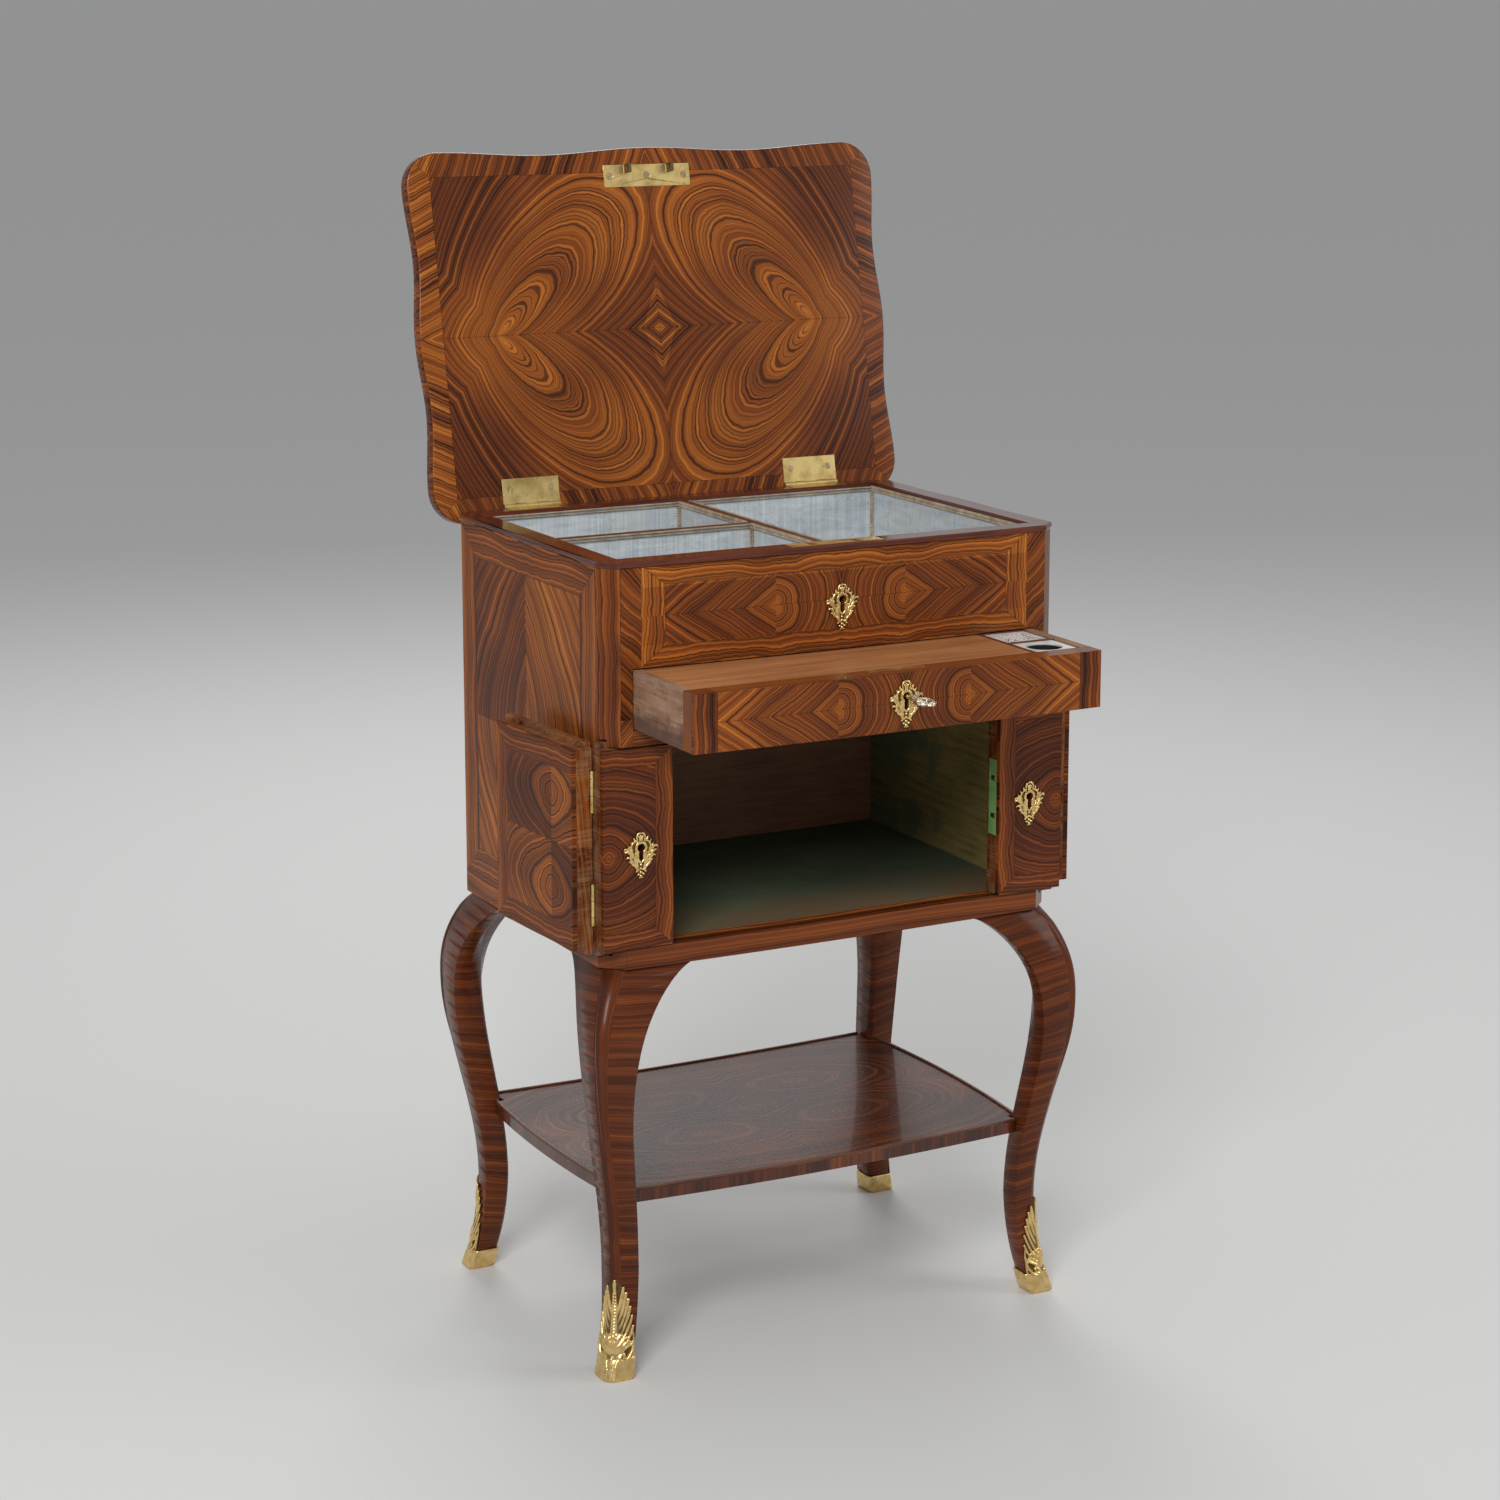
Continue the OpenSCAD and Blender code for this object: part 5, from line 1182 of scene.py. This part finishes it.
def plait():
    """Node tree that sets small slanting stitches along a line."""
    t = GeometryTree("plaited_braid", Step="Float", Length="Float", Width="Float",
        Thread="Material")
    spread = t.add("GeometryNodeResampleCurve", {0: t.start[0], "Length": t.start["Step"]},
        mode="LENGTH")
    stitch = t.add("GeometryNodeMeshUVSphere",
        {"Segments": 6, "Rings": 4, "Radius": t.start["Width"]})
    ratio = t.add("ShaderNodeMath", {0: t.start["Length"], 1: t.start["Width"]},
        operation="DIVIDE")
    stretch = t.add("ShaderNodeCombineXYZ", {0: 0.8, 1: 1, 2: ratio})
    shape = t.add("GeometryNodeTransform",
        {0: stitch, "Scale": stretch, "Rotation": (0.75, 0, 0)})
    align = t.add("FunctionNodeAlignEulerToVector",
        {"Vector": t.add("GeometryNodeInputTangent", {})}, axis="Z")
    rows = t.add("GeometryNodeInstanceOnPoints",
        {"Points": spread, "Instance": shape, "Rotation": align})
    whole = t.add("GeometryNodeRealizeInstances", {0: rows})
    t.feed(t.end, t.add("GeometryNodeSetMaterial", {0: whole, "Material": t.start["Thread"]}))
    return t


def braids():
    """Metal-thread braid along the linings' top edges and down their corners, two abreast."""
    points = []
    for x0, y0, x1, y1 in compartments:
        for inset, z in ((1.9, divider_z - 0.9), (1.8, divider_z - 3.8)):
            a, b, c, d = x0 + inset, y0 + inset, x1 - inset, y1 - inset
            for x, y in ((a, b), (c, b), (c, b), (c, d), (c, d), (a, d), (a, d), (a, b)):
                points.append((x, y, z))
        for x, sx in ((x0, 1), (x1, -1)):
            for y, sy in ((y0, 1), (y1, -1)):
                points += [(x + sx * in_x, y + sy * in_y, z)
                    for in_x, in_y in ((1.7, 1.9), (3.2, 1.5))
                    for z in (well_floor_z + 1.6, divider_z - 4)]
    obj = meshed("braid", (np.array(points) - (0, mid_y, 0)) * mm, (),
        [(k, k + 1) for k in range(0, len(points), 2)])
    line = GeometryTree("mesh_to_line")
    line.feed(line.end, line.add("GeometryNodeMeshToCurve", {0: line.start[0]}))
    line.shape(obj)
    plait().shape(obj, Step=0.0026, Length=0.0022, Width=0.0013, Thread=braid.material)
    settled(obj, 60)
    fitted(obj, "carcass", "braid", "well_braid")


def cupboard_cloth():
    """Green baize glued to the cupboard's floor, with an uneven front edge."""
    (x0, y0, z), (x1, y1, _) = (np.array(q) / mm + (0, mid_y, 0.15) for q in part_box("baize"))

    def at(u, v):
        edge = y0 + 0.4 + (0.9 + 0.8 * math.sin(u * 41) * math.sin(u * 17 + 1)) * (1 - v) ** 6
        rise = 0.16 * (1 + math.sin(u * 23 + v * 9) * math.sin(v * 19 + u * 5))
        return x0 + (x1 - x0) * u, edge + (y1 - edge) * v, z + rise

    obj = made("cupboard_baize", *grid(110, 70, at), baize)
    thick = obj.modifiers.new("thick", "SOLIDIFY")
    thick.thickness, thick.offset = 0.5 * mm, 1
    settled(obj, 50)
    fitted(obj, "carcass", "baize", "baize")


lid()
for depth, rear in (("front", False), ("rear", True)):
    for hand, right in (("left", False), ("right", True)):
        leg("leg_" + depth + "_" + hand, right, rear)
escutcheons()
shoes()
key()
for k, (name, room) in enumerate(zip(("rear_left", "front_left", "right"), compartments)):
    silk_lining(k, name, *room)
braids()
cupboard_cloth()


# Stage, lamps and camera

reach = 600
floor = meshed("floor", [(-reach, -reach, 0), (reach, -reach, 0), (reach, reach, 0),
    (-reach, reach, 0)], [(0, 1, 2, 3)])
floor.data.materials.append(
    Finish("pale_floor", Base_Color=(0.66, 0.66, 0.65), Roughness=0.9).material)


def lamp(name, place, aim_z, size, power):
    """A square lamp aimed at a height on the table's axis."""
    light = bpy.data.lights.new(name, "AREA")
    light.shape, light.size, light.energy = "SQUARE", size, power
    obj = placed(name, light)
    obj.location = place
    aim = Vector((0, 0, aim_z)) - Vector(place)
    obj.rotation_euler = aim.to_track_quat("-Z", "Y").to_euler()


lamp("key_lamp", (-2.3, -2.7, 2.9), 0.6, 1.6, 105)
lamp("fill_lamp", (2.9, -1.9, 1.9), 0.6, 1.6, 26)
lamp("back_lamp", (0.9, 2.6, 2.7), 0.7, 1.5, 40)

scene = bpy.context.scene
scene.world = bpy.data.worlds.new("studio")
scene.world.use_nodes = True
sky = Tree(scene.world.node_tree)
sky.tree.nodes.clear()
light = sky.add("ShaderNodeBackground", {0: (0.98, 0.99, 1), 1: 0.42})
sky.feed(sky.tree.nodes.new("ShaderNodeOutputWorld").inputs[0], light)

view = bpy.data.cameras.new("camera")
view.lens, view.sensor_width, view.sensor_fit = 81.347, 36, "HORIZONTAL"
view.shift_y = -0.08
view.clip_start, view.clip_end = 0.05, 2000
camera = placed("camera", view)
camera.location = (-1.5461, -2.7345 - mid_y * mm, 1.31282)
camera.rotation_euler = (math.pi / 2 - 0.19147, 0, -0.48778)
scene.camera = camera
scene.view_settings.view_transform = "Standard"
